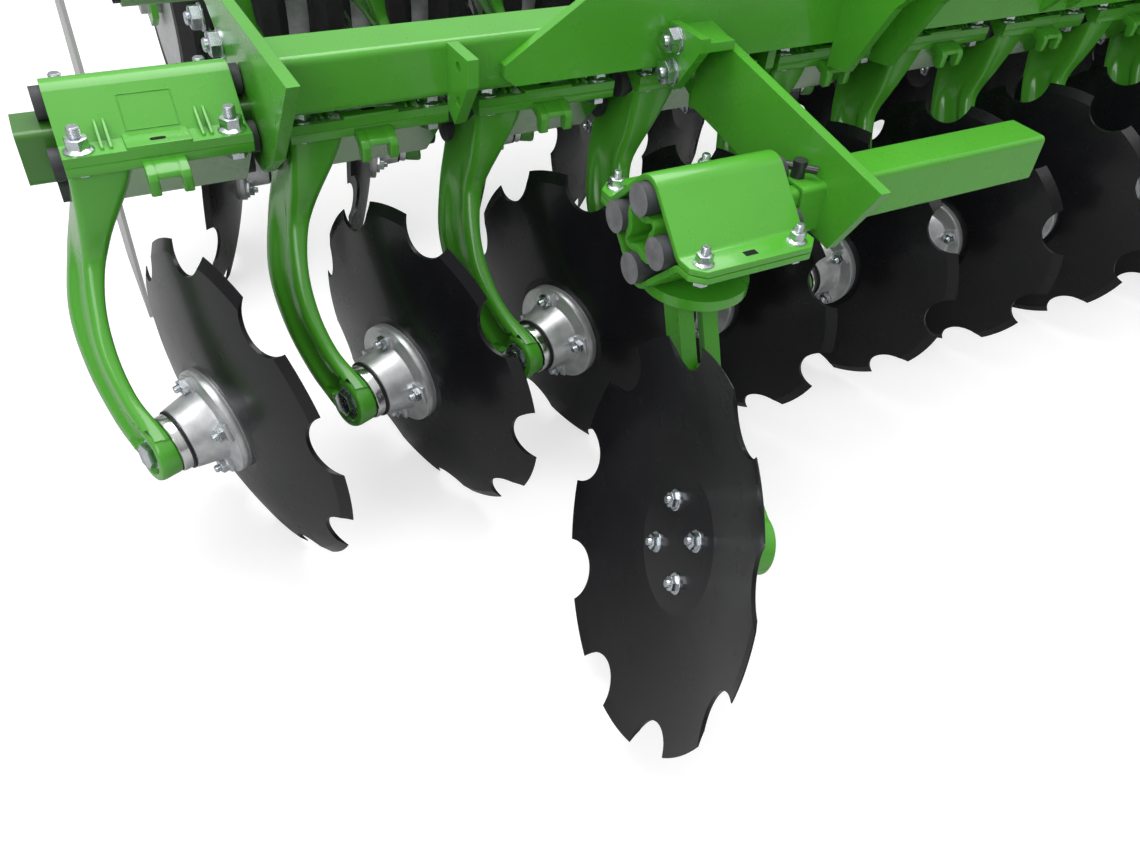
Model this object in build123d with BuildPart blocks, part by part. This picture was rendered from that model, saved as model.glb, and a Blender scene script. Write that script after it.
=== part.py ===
from build123d import *
import os
from math import cos, radians, sin, sqrt, tan

os.makedirs("parts", exist_ok=True)

# Compact disc harrow, 3 m wide, two rows of discs on rubber-sprung arms, a roller behind the far row
# and a three-point headstock on the near side. Millimetres, X across the machine, Y from the headstock
# to the roller, Z up from the ground, origin under the middle of the machine.

# Rows of discs
DISC_DIAMETER = 460
DISC_PITCH = 250
DISCS_PER_ROW = 12
ROW_GAP = 704
DISC_YAW = 16.9
DISC_TILT = 3.8
NEAR_BEAM_Y = -372
BEAM_Z = 523
FIRST_HOOK_X = -1457.5
NOTCH_PHASES = (20.5, 38.3, 31.9, 12, 4, 18, 9, 15, 2, 11, 19, 6)

# Notched dished blade and its hub, measured along the axle from the bolt face of the arm's eye
BLADE_THICKNESS = 5
BLADE_FLAT_RADIUS = 83
BLADE_DISH = 35
BLADE_BEVEL = 14
NOTCH_COUNT = 9
NOTCH_RADIUS = 41.5
NOTCH_DEPTH = 34
EYE_RADIUS = 36
EYE_BACK = 26
EYE_FRONT = 8
COLLAR_RADIUS = 33
COLLAR_END = 38
SEAL_RADIUS = 40
SEAL_END = 41
HUB_START = 41.4
HUB_SMALL_RADIUS = 40
HUB_LARGE_RADIUS = 46
HUB_CONE_END = 84
HUB_FLANGE_RADIUS = 72
BLADE_SEAT = 96
AXLE_RADIUS = 15
AXLE_END = 80
HUB_BORE_CLEARANCE = 0.05

# Disc beam with the rubber-sprung clamps
BEAM_SIDE = 65
BEAM_WALL = 6
BEAM_CORNER = 8
BEAM_OVERHANG = 40.5
ROD_RADIUS = 19
ROD_STANDOUT = 12
CLAMP_LENGTH = 207
CLAMP_WALL = 6
CLAMP_RIDGE_RADIUS = 24
FLANGE_GAP_Z = 14
FLANGE_TOP_THICKNESS = 11
FLANGE_LOW_THICKNESS = 12
FLANGE_REACH = 97
HOOK_WIDTH = 46
HOOK_REACH = 28
HOOK_DROP = 24
HOOK_SLOT = 22

# Frame
CROSS_TUBE_DEPTH = 80
CROSS_TUBE_HEIGHT = 70
CROSS_TUBE_WALL = 6
CROSS_TUBE_FORWARD = 120
CROSS_TUBE_RISE = 45
PLATE = 15
LONG_TUBE_WIDTH = 80
LONG_TUBE_HEIGHT = 90
LONG_TUBE_X = 620
HANGER_GAPS = (3, 7, 10)
LUG_X = 1107.5

# Three-point linkage, category 2
LINK_SPREAD = 825
LINK_BORE_RADIUS = 14.25
LINK_PIN_FORWARD = 130
LINK_PIN_Z = 740
MAST_HEIGHT = 610
TOP_BORE_RADIUS = 13
TOP_PIN_GAP = 52
CLEVIS_GAP = 69.5
MAST_FORWARD = 60
HEAD_PLATE = 14
HEAD_HALF = 1043
HEAD_TOP = 860
STAY_PLATE = 12

# Telescopic edge discs in front of the near row
EDGE_TUBE_SIDE = 65
EDGE_TUBE_WALL = 4
EDGE_TUBE_FORWARD = 400
EDGE_TUBE_Z = 500
EDGE_TUBE_LEFT = -782.5
EDGE_TUBE_LENGTH = 435
EDGE_PLATE_X = -737.5
STAR_CLEARANCE = 0.3
STAR_TIP = 8
STAR_FLANK = 19.6
STAR_WALL = 5
STAR_WAIST = 8.6
STAR_END = 4
STAR_SHORT = 20
LUG_OFFSET = 55
LUG_REACH = 74
EDGE_CLAMP_LENGTH = 177
EDGE_CLAMP_LEFT = -989.5
EDGE_CLAMP_WALL = 8
EDGE_ROD_RADIUS = 19.5
EDGE_ROD_OFFSET = 45
EDGE_FLANGE_REACH = 117
EDGE_DISC_X = -1096
EDGE_DISC_FORWARD = 648
EDGE_DISC_Z = 266.4
EDGE_DISC_YAW = 15
EDGE_DISC_TILT = 13.3
EDGE_DISC_PHASE = 17.2
EDGE_RIDGE_RADIUS = 27
SWIVEL_RADIUS = 69
SWIVEL_THICKNESS = 14
POST_LEAN = 23
POST_WIDTH = 60
POST_FOOT_Z = 262
PIN_HEAD_RADIUS = 9
PIN_HEAD_HEIGHT = 22
PIN_HANDLE = 46
PIN_HANDLE_RADIUS = 5

# Roller
ROLLER_Y = 929.1
ROLLER_RADIUS = 260
ROLLER_RING_WIDTH = 92
ROLLER_RING_COUNT = 17
ROLLER_HALF_LENGTH = 1260
ROLLER_DRUM_RADIUS = 190
ROLLER_DRUM_WALL = 10
ROLLER_AXLE_RADIUS = 25
ROLLER_STUB = 45
ROLLER_BEAM_SIDE = 90
ROLLER_BEAM_LEAD = 230
SCRAPER_GAP = 12

# Side deflectors
DEFLECTOR_X = 1503
DEFLECTOR_PLATE = 6

RADIUS = DISC_DIAMETER / 2
FAR_BEAM_Y = NEAR_BEAM_Y + ROW_GAP
ROD_SEAT = 0.1
ROD_OFFSET = BEAM_SIDE / 2 + ROD_RADIUS + ROD_SEAT
CLAMP_INNER = ROD_OFFSET + (ROD_RADIUS + ROD_SEAT) * sqrt(2)
CLAMP_OUTER = CLAMP_INNER + CLAMP_WALL * sqrt(2)
HALF_CLAMP = CLAMP_LENGTH / 2
GAP_X = DISC_PITCH / 2
CROSS_TUBE_BOTTOM = BEAM_Z + CROSS_TUBE_RISE
CROSS_TUBE_TOP = CROSS_TUBE_BOTTOM + CROSS_TUBE_HEIGHT
EDGE_INNER = EDGE_ROD_OFFSET + (EDGE_ROD_RADIUS + ROD_SEAT) * sqrt(2)
EDGE_OUTER = EDGE_INNER + EDGE_CLAMP_WALL * sqrt(2)
STAR_SIDE = EDGE_TUBE_SIDE - 2 * EDGE_TUBE_WALL - 2 * STAR_CLEARANCE
LAST_HOOK_X = FIRST_HOOK_X + DISC_PITCH * (DISCS_PER_ROW - 1)


def axis_plane(eye, yaw, tilt, hand):
    """Plane at an arm's eye whose normal runs along the axle towards the blade."""
    normal = Vector(
        hand * cos(radians(yaw)) * cos(radians(tilt)),
        sin(radians(yaw)) * cos(radians(tilt)),
        sin(radians(tilt)),
    )
    level = Vector(normal.Y, -normal.X, 0).normalized()
    return Plane(origin=eye, x_dir=level, z_dir=normal)


# The near row's arm eye lies forward of and below the beam, left of the hook
EYE_X = -108
EYE_FORWARD = 233.6
EYE_Z = BEAM_Z - 301.3

# Blade and hub, built once along +Z from the eye
blade_rim = BLADE_SEAT + BLADE_DISH
bevel_r = RADIUS - BLADE_BEVEL
dish_mid_r = (BLADE_FLAT_RADIUS + bevel_r) / 2
dish_rise = BLADE_DISH * 0.86
with BuildPart() as blade:
    with BuildSketch(Plane.XZ) as blade_profile:
        with BuildLine():
            Polyline((0, BLADE_SEAT), (BLADE_FLAT_RADIUS, BLADE_SEAT))
            ThreePointArc(
                (BLADE_FLAT_RADIUS, BLADE_SEAT),
                (dish_mid_r, BLADE_SEAT + dish_rise * 0.4),
                (bevel_r, BLADE_SEAT + dish_rise),
            )
            Polyline(
                (bevel_r, BLADE_SEAT + dish_rise),
                (RADIUS, blade_rim + BLADE_THICKNESS - 1),
                (RADIUS - 0.6, blade_rim + BLADE_THICKNESS),
                (bevel_r, BLADE_SEAT + dish_rise + BLADE_THICKNESS),
            )
            ThreePointArc(
                (bevel_r, BLADE_SEAT + dish_rise + BLADE_THICKNESS),
                (dish_mid_r, BLADE_SEAT + dish_rise * 0.4 + BLADE_THICKNESS),
                (BLADE_FLAT_RADIUS, BLADE_SEAT + BLADE_THICKNESS),
            )
            Polyline(
                (BLADE_FLAT_RADIUS, BLADE_SEAT + BLADE_THICKNESS),
                (0, BLADE_SEAT + BLADE_THICKNESS),
                (0, BLADE_SEAT),
            )
        make_face()
    revolve(axis=Axis.Z)
    with BuildSketch(Plane.XY.offset(BLADE_SEAT - 2)):
        with PolarLocations(RADIUS - NOTCH_DEPTH + NOTCH_RADIUS, NOTCH_COUNT):
            Circle(NOTCH_RADIUS)
    extrude(amount=BLADE_DISH + 2 * BLADE_THICKNESS + 4, mode=Mode.SUBTRACT)

with BuildPart() as hub:
    with BuildSketch(Plane.XZ) as hub_profile:
        with BuildLine():
            Polyline(
                (AXLE_RADIUS + HUB_BORE_CLEARANCE, HUB_START),
                (HUB_SMALL_RADIUS, HUB_START),
                (HUB_LARGE_RADIUS, HUB_CONE_END),
                (HUB_FLANGE_RADIUS, HUB_CONE_END),
                (HUB_FLANGE_RADIUS, BLADE_SEAT),
                (0, BLADE_SEAT),
                (0, AXLE_END + 1),
                (AXLE_RADIUS + HUB_BORE_CLEARANCE, AXLE_END + 1),
                (AXLE_RADIUS + HUB_BORE_CLEARANCE, HUB_START),
            )
        make_face()
    revolve(axis=Axis.Z)

with BuildPart() as rotor:
    add(blade.part)
    add(hub.part)

# Axle, bright collar and seal that the arm's eye carries, built once along +Z
with BuildPart() as spindle:
    with BuildSketch(Plane.XY.offset(EYE_BACK)):
        Circle(COLLAR_RADIUS)
    extrude(amount=COLLAR_END - EYE_BACK)
    with BuildSketch(Plane.XY.offset(COLLAR_END)):
        Circle(SEAL_RADIUS)
    extrude(amount=SEAL_END - COLLAR_END)
    with BuildSketch(Plane.XY.offset(SEAL_END)):
        Circle(AXLE_RADIUS)
    extrude(amount=AXLE_END - SEAL_END)

# Upper clamp shell, local frame on the beam's axis under the hook, built once
with BuildPart() as shell:
    with BuildSketch(Plane.YZ.offset(-HALF_CLAMP)) as shell_profile:
        gap_inner = CLAMP_INNER - FLANGE_GAP_Z
        flange_top = FLANGE_GAP_Z + FLANGE_TOP_THICKNESS
        fold = CLAMP_OUTER - flange_top
        with BuildLine():
            Polyline(
                (-FLANGE_REACH, FLANGE_GAP_Z),
                (-gap_inner, FLANGE_GAP_Z),
                (0, CLAMP_INNER),
                (gap_inner, FLANGE_GAP_Z),
                (FLANGE_REACH, FLANGE_GAP_Z),
                (FLANGE_REACH, flange_top),
                (fold, flange_top),
                (0, CLAMP_OUTER),
                (-fold, flange_top),
                (-FLANGE_REACH, flange_top),
                (-FLANGE_REACH, FLANGE_GAP_Z),
            )
        make_face()
        fillet(shell_profile.vertices().sort_by(Axis.Y)[-1], CLAMP_RIDGE_RADIUS)
        fillet(
            shell_profile.vertices().filter_by_position(Axis.Y, CLAMP_INNER - 1, CLAMP_INNER + 1),
            CLAMP_RIDGE_RADIUS - CLAMP_WALL,
        )
    extrude(amount=CLAMP_LENGTH)

# Lower casting: trough, hook nose, curved arm and eye in one piece, built once for the near row
with BuildPart() as casting:
    with BuildSketch(Plane.YZ.offset(-HALF_CLAMP)) as trough_profile:
        low_flange = FLANGE_GAP_Z - FLANGE_LOW_THICKNESS
        low_fold = CLAMP_OUTER - low_flange
        with BuildLine():
            Polyline(
                (-FLANGE_REACH, FLANGE_GAP_Z),
                (-gap_inner, FLANGE_GAP_Z),
                (-CLAMP_INNER, 0),
                (0, -CLAMP_INNER),
                (CLAMP_INNER, 0),
                (gap_inner, FLANGE_GAP_Z),
                (FLANGE_REACH, FLANGE_GAP_Z),
                (FLANGE_REACH, low_flange),
                (low_fold, low_flange),
                (0, -CLAMP_OUTER),
                (-low_fold, low_flange),
                (-FLANGE_REACH, low_flange),
                (-FLANGE_REACH, FLANGE_GAP_Z),
            )
        make_face()
        fillet(trough_profile.vertices().sort_by(Axis.Y)[0], CLAMP_RIDGE_RADIUS)
        fillet(
            trough_profile.vertices().filter_by_position(Axis.Y, -CLAMP_INNER - 1, -CLAMP_INNER + 1),
            CLAMP_RIDGE_RADIUS - CLAMP_WALL,
        )
    extrude(amount=CLAMP_LENGTH)
    with BuildSketch(Plane.XY.offset(FLANGE_GAP_Z - 3)):
        with Locations((0, -FLANGE_REACH - HOOK_REACH / 2)):
            RectangleRounded(HOOK_WIDTH, HOOK_REACH + 12, 5)
    extrude(amount=-HOOK_DROP)
    with BuildSketch(Plane.XY.offset(FLANGE_GAP_Z - 11)):
        with Locations((0, -FLANGE_REACH - HOOK_REACH)):
            Rectangle(HOOK_SLOT, HOOK_REACH * 1.3)
    extrude(amount=-HOOK_DROP, mode=Mode.SUBTRACT)

# The arm's edges seen from the front, (x, height over the beam's axis), and from the side, (y, height)
ARM_LEFT = ((-107, -40), (-149, -190), (-128, -318))
ARM_RIGHT = ((-41, -44), (-104, -165), (-78, -318))
ARM_FRONT = ((-54, -34), (-128, -184), (-262, -284))
ARM_REAR = ((24, -60), (-74, -216), (-226, -338))

with BuildPart() as arm:
    with BuildSketch(Plane.XZ.offset(400)):
        with BuildLine():
            ThreePointArc(*ARM_LEFT)
            Line(ARM_LEFT[2], ARM_RIGHT[2])
            ThreePointArc(ARM_RIGHT[2], ARM_RIGHT[1], ARM_RIGHT[0])
            Line(ARM_RIGHT[0], ARM_LEFT[0])
        make_face()
    extrude(amount=-600)
    with BuildSketch(Plane.YZ.offset(-300)):
        with BuildLine():
            ThreePointArc(*ARM_FRONT)
            Line(ARM_FRONT[2], ARM_REAR[2])
            ThreePointArc(ARM_REAR[2], ARM_REAR[1], ARM_REAR[0])
            Line(ARM_REAR[0], ARM_FRONT[0])
        make_face()
    extrude(amount=500, mode=Mode.INTERSECT)

eye_local = (EYE_X, -EYE_FORWARD, EYE_Z - BEAM_Z)
eye_plane = axis_plane(eye_local, DISC_YAW, DISC_TILT, 1)
with BuildPart() as eye_boss:
    with BuildSketch(eye_plane.offset(-EYE_FRONT)):
        Circle(EYE_RADIUS)
    extrude(amount=EYE_FRONT + EYE_BACK)

with BuildPart() as hub_room:
    with BuildSketch(eye_plane.offset(EYE_BACK)):
        Circle(EYE_RADIUS + 40)
    extrude(amount=BLADE_SEAT)

with BuildPart() as bolt_room:
    with BuildSketch(eye_plane.offset(-EYE_FRONT)):
        Circle(EYE_RADIUS + 20)
    extrude(amount=-60)

with BuildPart() as arm_casting:
    add(arm.part)
    add(eye_boss.part)
    add(hub_room.part, mode=Mode.SUBTRACT)
    add(bolt_room.part, mode=Mode.SUBTRACT)
    with BuildSketch(Plane.YZ.offset(-HALF_CLAMP - ROD_STANDOUT - 2)):
        with BuildLine():
            Polyline(
                (-CLAMP_INNER, 0),
                (0, -CLAMP_INNER),
                (CLAMP_INNER, 0),
                (0, CLAMP_INNER),
                (-CLAMP_INNER, 0),
            )
        make_face()
    extrude(amount=CLAMP_LENGTH, mode=Mode.SUBTRACT)
    add(casting.part)

# Four rubber rods of one clamp, built once
with BuildPart() as rods:
    with BuildSketch(Plane.YZ.offset(-HALF_CLAMP - ROD_STANDOUT)):
        with PolarLocations(ROD_OFFSET, 4):
            Circle(ROD_RADIUS)
    extrude(amount=CLAMP_LENGTH + 2 * ROD_STANDOUT)


def row_locations(row):
    """Places of one row's clamps: the far row is the near row turned left for right."""
    y = NEAR_BEAM_Y if row == "near" else FAR_BEAM_Y
    hand = 1 if row == "near" else -1
    return [
        Location((hand * (FIRST_HOOK_X + DISC_PITCH * k), y, BEAM_Z))
        for k in range(DISCS_PER_ROW)
    ]


def row_eyes(row):
    """Axle planes of one row, at the eyes of its arms."""
    y = NEAR_BEAM_Y if row == "near" else FAR_BEAM_Y
    hand = 1 if row == "near" else -1
    places = []
    for k in range(DISCS_PER_ROW):
        eye = (hand * (FIRST_HOOK_X + DISC_PITCH * k + EYE_X), y - EYE_FORWARD, EYE_Z)
        places.append(axis_plane(eye, DISC_YAW, DISC_TILT, hand))
    return places


near_places = row_locations("near")
far_places = row_locations("far")
with BuildPart() as near_arms:
    with Locations(*near_places):
        add(arm_casting.part)
near_arms.part.label = "near_arms"
export_step(near_arms.part, "parts/near_arms.step")

with BuildPart() as far_casting:
    mirror(arm_casting.part, about=Plane.YZ)

with BuildPart() as far_arms:
    with Locations(*far_places):
        add(far_casting.part)
far_arms.part.label = "far_arms"
export_step(far_arms.part, "parts/far_arms.step")

with BuildPart() as shells:
    with Locations(*near_places, *far_places):
        add(shell.part)
shells.part.label = "clamp_shells"
export_step(shells.part, "parts/clamp_shells.step")

with BuildPart() as rod_set:
    with Locations(*near_places, *far_places):
        add(rods.part)
rod_set.part.label = "rubber_rods"
export_step(rod_set.part, "parts/rubber_rods.step")

beam_left = FIRST_HOOK_X - HALF_CLAMP - BEAM_OVERHANG
beam_right = LAST_HOOK_X + HALF_CLAMP + BEAM_OVERHANG
with BuildPart() as disc_beams:
    for beam_x, beam_y in ((beam_left, NEAR_BEAM_Y), (-beam_right, FAR_BEAM_Y)):
        with BuildSketch(Plane.YZ.offset(beam_x)):
            with Locations((beam_y, BEAM_Z)):
                RectangleRounded(BEAM_SIDE, BEAM_SIDE, BEAM_CORNER)
                RectangleRounded(
                    BEAM_SIDE - 2 * BEAM_WALL,
                    BEAM_SIDE - 2 * BEAM_WALL,
                    3,
                    mode=Mode.SUBTRACT,
                )
        extrude(amount=beam_right - beam_left)
disc_beams.part.label = "disc_beams"
export_step(disc_beams.part, "parts/disc_beams.step")

near_eyes = row_eyes("near")
far_eyes = row_eyes("far")
with BuildPart() as spindles:
    with Locations(*[Location(eye) for eye in near_eyes + far_eyes]):
        add(spindle.part)
spindles.part.label = "spindles"
export_step(spindles.part, "parts/spindles.step")

for row, eyes in (("near", near_eyes), ("far", far_eyes)):
    for k in range(DISCS_PER_ROW):
        turned = Location(eyes[k]) * Location((0, 0, 0), (0, 0, NOTCH_PHASES[k]))
        with BuildPart() as disc:
            with Locations(turned):
                add(rotor.part)
        name = row + "_disc_" + str(k + 1).zfill(2)
        disc.part.label = name
        export_step(disc.part, "parts/" + name + ".step")

# Cross tubes above and in front of each disc beam
END_PLATE_X = -FIRST_HOOK_X - GAP_X
TUBE_HALF = END_PLATE_X - PLATE / 2
near_front = NEAR_BEAM_Y - CROSS_TUBE_FORWARD
far_front = FAR_BEAM_Y - CROSS_TUBE_FORWARD
with BuildPart() as cross_tubes:
    for front in (near_front, far_front):
        with BuildSketch(Plane.YZ.offset(-TUBE_HALF)):
            with Locations(
                (front + CROSS_TUBE_DEPTH / 2, CROSS_TUBE_BOTTOM + CROSS_TUBE_HEIGHT / 2)
            ):
                RectangleRounded(CROSS_TUBE_DEPTH, CROSS_TUBE_HEIGHT, 9)
                RectangleRounded(
                    CROSS_TUBE_DEPTH - 2 * CROSS_TUBE_WALL,
                    CROSS_TUBE_HEIGHT - 2 * CROSS_TUBE_WALL,
                    4,
                    mode=Mode.SUBTRACT,
                )
        extrude(amount=2 * TUBE_HALF)
cross_tubes.part.label = "cross_tubes"
export_step(cross_tubes.part, "parts/cross_tubes.step")

# Side plates: each hangs its own row's beam and runs on over the other row
PLATE_TOP = CROSS_TUBE_TOP + 16
OVER_CLAMP = BEAM_Z + CLAMP_OUTER + 6
LEG = BEAM_SIDE / 2 + 18
far_back = FAR_BEAM_Y + 110
with BuildPart() as side_plates:
    with BuildSketch(Plane.YZ.offset(-END_PLATE_X - PLATE / 2)):
        with BuildLine():
            Polyline(
                (near_front - 117, PLATE_TOP),
                (near_front, BEAM_Z - 3),
                (NEAR_BEAM_Y - LEG, BEAM_Z - LEG),
                (NEAR_BEAM_Y + LEG, BEAM_Z - LEG),
                (NEAR_BEAM_Y + LEG + 10, BEAM_Z + 40),
                (NEAR_BEAM_Y + 160, OVER_CLAMP),
                (far_back, OVER_CLAMP),
                (far_back, PLATE_TOP),
                (near_front - 117, PLATE_TOP),
            )
        make_face()
        with Locations((NEAR_BEAM_Y, BEAM_Z)):
            RectangleRounded(BEAM_SIDE, BEAM_SIDE, BEAM_CORNER, mode=Mode.SUBTRACT)
    extrude(amount=PLATE)
    with BuildSketch(Plane.YZ.offset(END_PLATE_X - PLATE / 2)):
        with BuildLine():
            Polyline(
                (near_front - 12, PLATE_TOP),
                (near_front - 12, OVER_CLAMP),
                (far_front - 60, OVER_CLAMP),
                (far_front, BEAM_Z - 3),
                (FAR_BEAM_Y - LEG, BEAM_Z - LEG),
                (FAR_BEAM_Y + LEG, BEAM_Z - LEG),
                (FAR_BEAM_Y + LEG + 10, BEAM_Z + 40),
                (far_back, OVER_CLAMP),
                (far_back, PLATE_TOP),
                (near_front - 12, PLATE_TOP),
            )
        make_face()
        with Locations((FAR_BEAM_Y, BEAM_Z)):
            RectangleRounded(BEAM_SIDE, BEAM_SIDE, BEAM_CORNER, mode=Mode.SUBTRACT)
    extrude(amount=PLATE)
side_plates.part.label = "side_plates"
export_step(side_plates.part, "parts/side_plates.step")

# Hanger plates in the gaps between the clamps carry each beam from its cross tube
with BuildPart() as hangers:
    for hand, beam_y in ((1, NEAR_BEAM_Y), (-1, FAR_BEAM_Y)):
        for gap in HANGER_GAPS:
            x = hand * (FIRST_HOOK_X + GAP_X + DISC_PITCH * gap)
            tube_back = beam_y - CROSS_TUBE_FORWARD + CROSS_TUBE_DEPTH
            with BuildSketch(Plane.YZ.offset(x - PLATE / 2)):
                with BuildLine():
                    Polyline(
                        (tube_back, CROSS_TUBE_TOP),
                        (tube_back, CROSS_TUBE_BOTTOM),
                        (tube_back - 62, CROSS_TUBE_BOTTOM),
                        (tube_back - 62, BEAM_Z + 12),
                        (beam_y - LEG, BEAM_Z - LEG),
                        (beam_y + LEG, BEAM_Z - LEG),
                        (beam_y + LEG + 8, BEAM_Z + 60),
                        (beam_y + 20, CROSS_TUBE_TOP),
                        (tube_back, CROSS_TUBE_TOP),
                    )
                make_face()
                with Locations((beam_y, BEAM_Z)):
                    RectangleRounded(BEAM_SIDE, BEAM_SIDE, BEAM_CORNER, mode=Mode.SUBTRACT)
            extrude(amount=PLATE)
hangers.part.label = "beam_hangers"
export_step(hangers.part, "parts/beam_hangers.step")

# Lengthwise tubes on top of the cross tubes, back to the roller's beam
roller_beam_y = ROLLER_Y - ROLLER_BEAM_LEAD
LONG_BACK = roller_beam_y - ROLLER_BEAM_SIDE / 2
with BuildPart() as long_tubes:
    for x in (-LONG_TUBE_X, LONG_TUBE_X):
        with BuildSketch(Plane.XZ.offset(-near_front)):
            with Locations((x, CROSS_TUBE_TOP + LONG_TUBE_HEIGHT / 2)):
                RectangleRounded(LONG_TUBE_WIDTH, LONG_TUBE_HEIGHT, 9)
                RectangleRounded(
                    LONG_TUBE_WIDTH - 2 * CROSS_TUBE_WALL,
                    LONG_TUBE_HEIGHT - 2 * CROSS_TUBE_WALL,
                    4,
                    mode=Mode.SUBTRACT,
                )
        extrude(amount=-(LONG_BACK - near_front))
long_tubes.part.label = "lengthwise_tubes"
export_step(long_tubes.part, "parts/lengthwise_tubes.step")

# Headstock: front plate on the near cross tube, tower, stays and lower link ears
plate_face = near_front - HEAD_PLATE
mast_top = LINK_PIN_Z + MAST_HEIGHT
mast_y = plate_face - MAST_FORWARD
link_y = plate_face - LINK_PIN_FORWARD
tower_half = TOP_PIN_GAP / 2
with BuildPart() as head_plate:
    with BuildSketch(Plane.XZ.offset(-near_front)):
        with BuildLine():
            Polyline(
                (-HEAD_HALF + 16, CROSS_TUBE_BOTTOM + 8),
                (HEAD_HALF - 16, CROSS_TUBE_BOTTOM + 8),
                (HEAD_HALF, CROSS_TUBE_BOTTOM + 20),
                (HEAD_HALF, CROSS_TUBE_BOTTOM + 36),
                (LONG_TUBE_X + 20, HEAD_TOP),
                (-LONG_TUBE_X - 20, HEAD_TOP),
                (-HEAD_HALF, CROSS_TUBE_BOTTOM + 36),
                (-HEAD_HALF, CROSS_TUBE_BOTTOM + 20),
                (-HEAD_HALF + 16, CROSS_TUBE_BOTTOM + 8),
            )
        make_face()
    extrude(amount=HEAD_PLATE)
head_plate.part.label = "headstock_plate"
export_step(head_plate.part, "parts/headstock_plate.step")

with BuildPart() as tower:
    for hand in (-1, 1):
        x = tower_half if hand == 1 else -tower_half - PLATE
        with BuildSketch(Plane.YZ.offset(x)):
            with BuildLine():
                Polyline(
                    (plate_face, CROSS_TUBE_BOTTOM + 10),
                    (plate_face - 60, CROSS_TUBE_BOTTOM + 80),
                    (mast_y - 45, mast_top + 20),
                    (mast_y - 25, mast_top + 50),
                    (mast_y + 40, mast_top + 50),
                    (plate_face, HEAD_TOP),
                    (plate_face, CROSS_TUBE_BOTTOM + 10),
                )
            make_face()
            with Locations((mast_y, mast_top)):
                Circle(TOP_BORE_RADIUS, mode=Mode.SUBTRACT)
        extrude(amount=PLATE)
tower.part.label = "headstock_tower"
export_step(tower.part, "parts/headstock_tower.step")

# Two ears a side take the lower link's ball between them, the inner one at half the spread
with BuildPart() as ears:
    for x in (
        -LINK_SPREAD / 2 - CLEVIS_GAP - PLATE,
        -LINK_SPREAD / 2,
        LINK_SPREAD / 2 - PLATE,
        LINK_SPREAD / 2 + CLEVIS_GAP,
    ):
        with BuildSketch(Plane.YZ.offset(x)):
            with BuildLine():
                Polyline(
                    (plate_face, BEAM_Z + 17),
                    (plate_face - 40, BEAM_Z + 22),
                    (plate_face - 100, BEAM_Z + 132),
                    (link_y - 40, LINK_PIN_Z - 14),
                    (link_y - 40, LINK_PIN_Z + 24),
                    (link_y - 14, LINK_PIN_Z + 48),
                    (plate_face, HEAD_TOP - 10),
                    (plate_face, BEAM_Z + 17),
                )
            make_face()
            with Locations((link_y, LINK_PIN_Z)):
                Circle(LINK_BORE_RADIUS, mode=Mode.SUBTRACT)
        extrude(amount=PLATE)
ears.part.label = "lower_link_ears"
export_step(ears.part, "parts/lower_link_ears.step")

with BuildPart() as stays:
    for hand in (-1, 1):
        x = tower_half + PLATE if hand == 1 else -tower_half - PLATE - STAY_PLATE
        with BuildSketch(Plane.YZ.offset(x)):
            with BuildLine():
                Polyline(
                    (mast_y + 20, mast_top - 40),
                    (mast_y + 20, mast_top + 40),
                    (mast_y + 50, mast_top + 40),
                    (far_front + CROSS_TUBE_DEPTH - 8, CROSS_TUBE_TOP + 60),
                    (far_front + CROSS_TUBE_DEPTH - 8, CROSS_TUBE_TOP),
                    (far_front + 8, CROSS_TUBE_TOP),
                    (mast_y + 20, mast_top - 40),
                )
            make_face()
        extrude(amount=STAY_PLATE)
stays.part.label = "headstock_stays"
export_step(stays.part, "parts/headstock_stays.step")

# Plain lugs on the near cross tube, with two holes each
with BuildPart() as lugs:
    for x in (-LUG_X - PLATE / 2, LUG_X - PLATE / 2):
        with BuildSketch(Plane.YZ.offset(x)):
            with BuildLine():
                Polyline(
                    (near_front, CROSS_TUBE_TOP - 2),
                    (near_front, CROSS_TUBE_BOTTOM - 12),
                    (near_front - 22, CROSS_TUBE_BOTTOM - 26),
                    (near_front - 62, CROSS_TUBE_BOTTOM + 34),
                    (near_front - 62, CROSS_TUBE_TOP - 2),
                    (near_front, CROSS_TUBE_TOP - 2),
                )
            make_face()
            with Locations(
                (near_front - 34, CROSS_TUBE_TOP - 20), (near_front - 34, CROSS_TUBE_TOP - 62)
            ):
                Circle(7, mode=Mode.SUBTRACT)
        extrude(amount=PLATE)
lugs.part.label = "tube_lugs"
export_step(lugs.part, "parts/tube_lugs.step")

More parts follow.
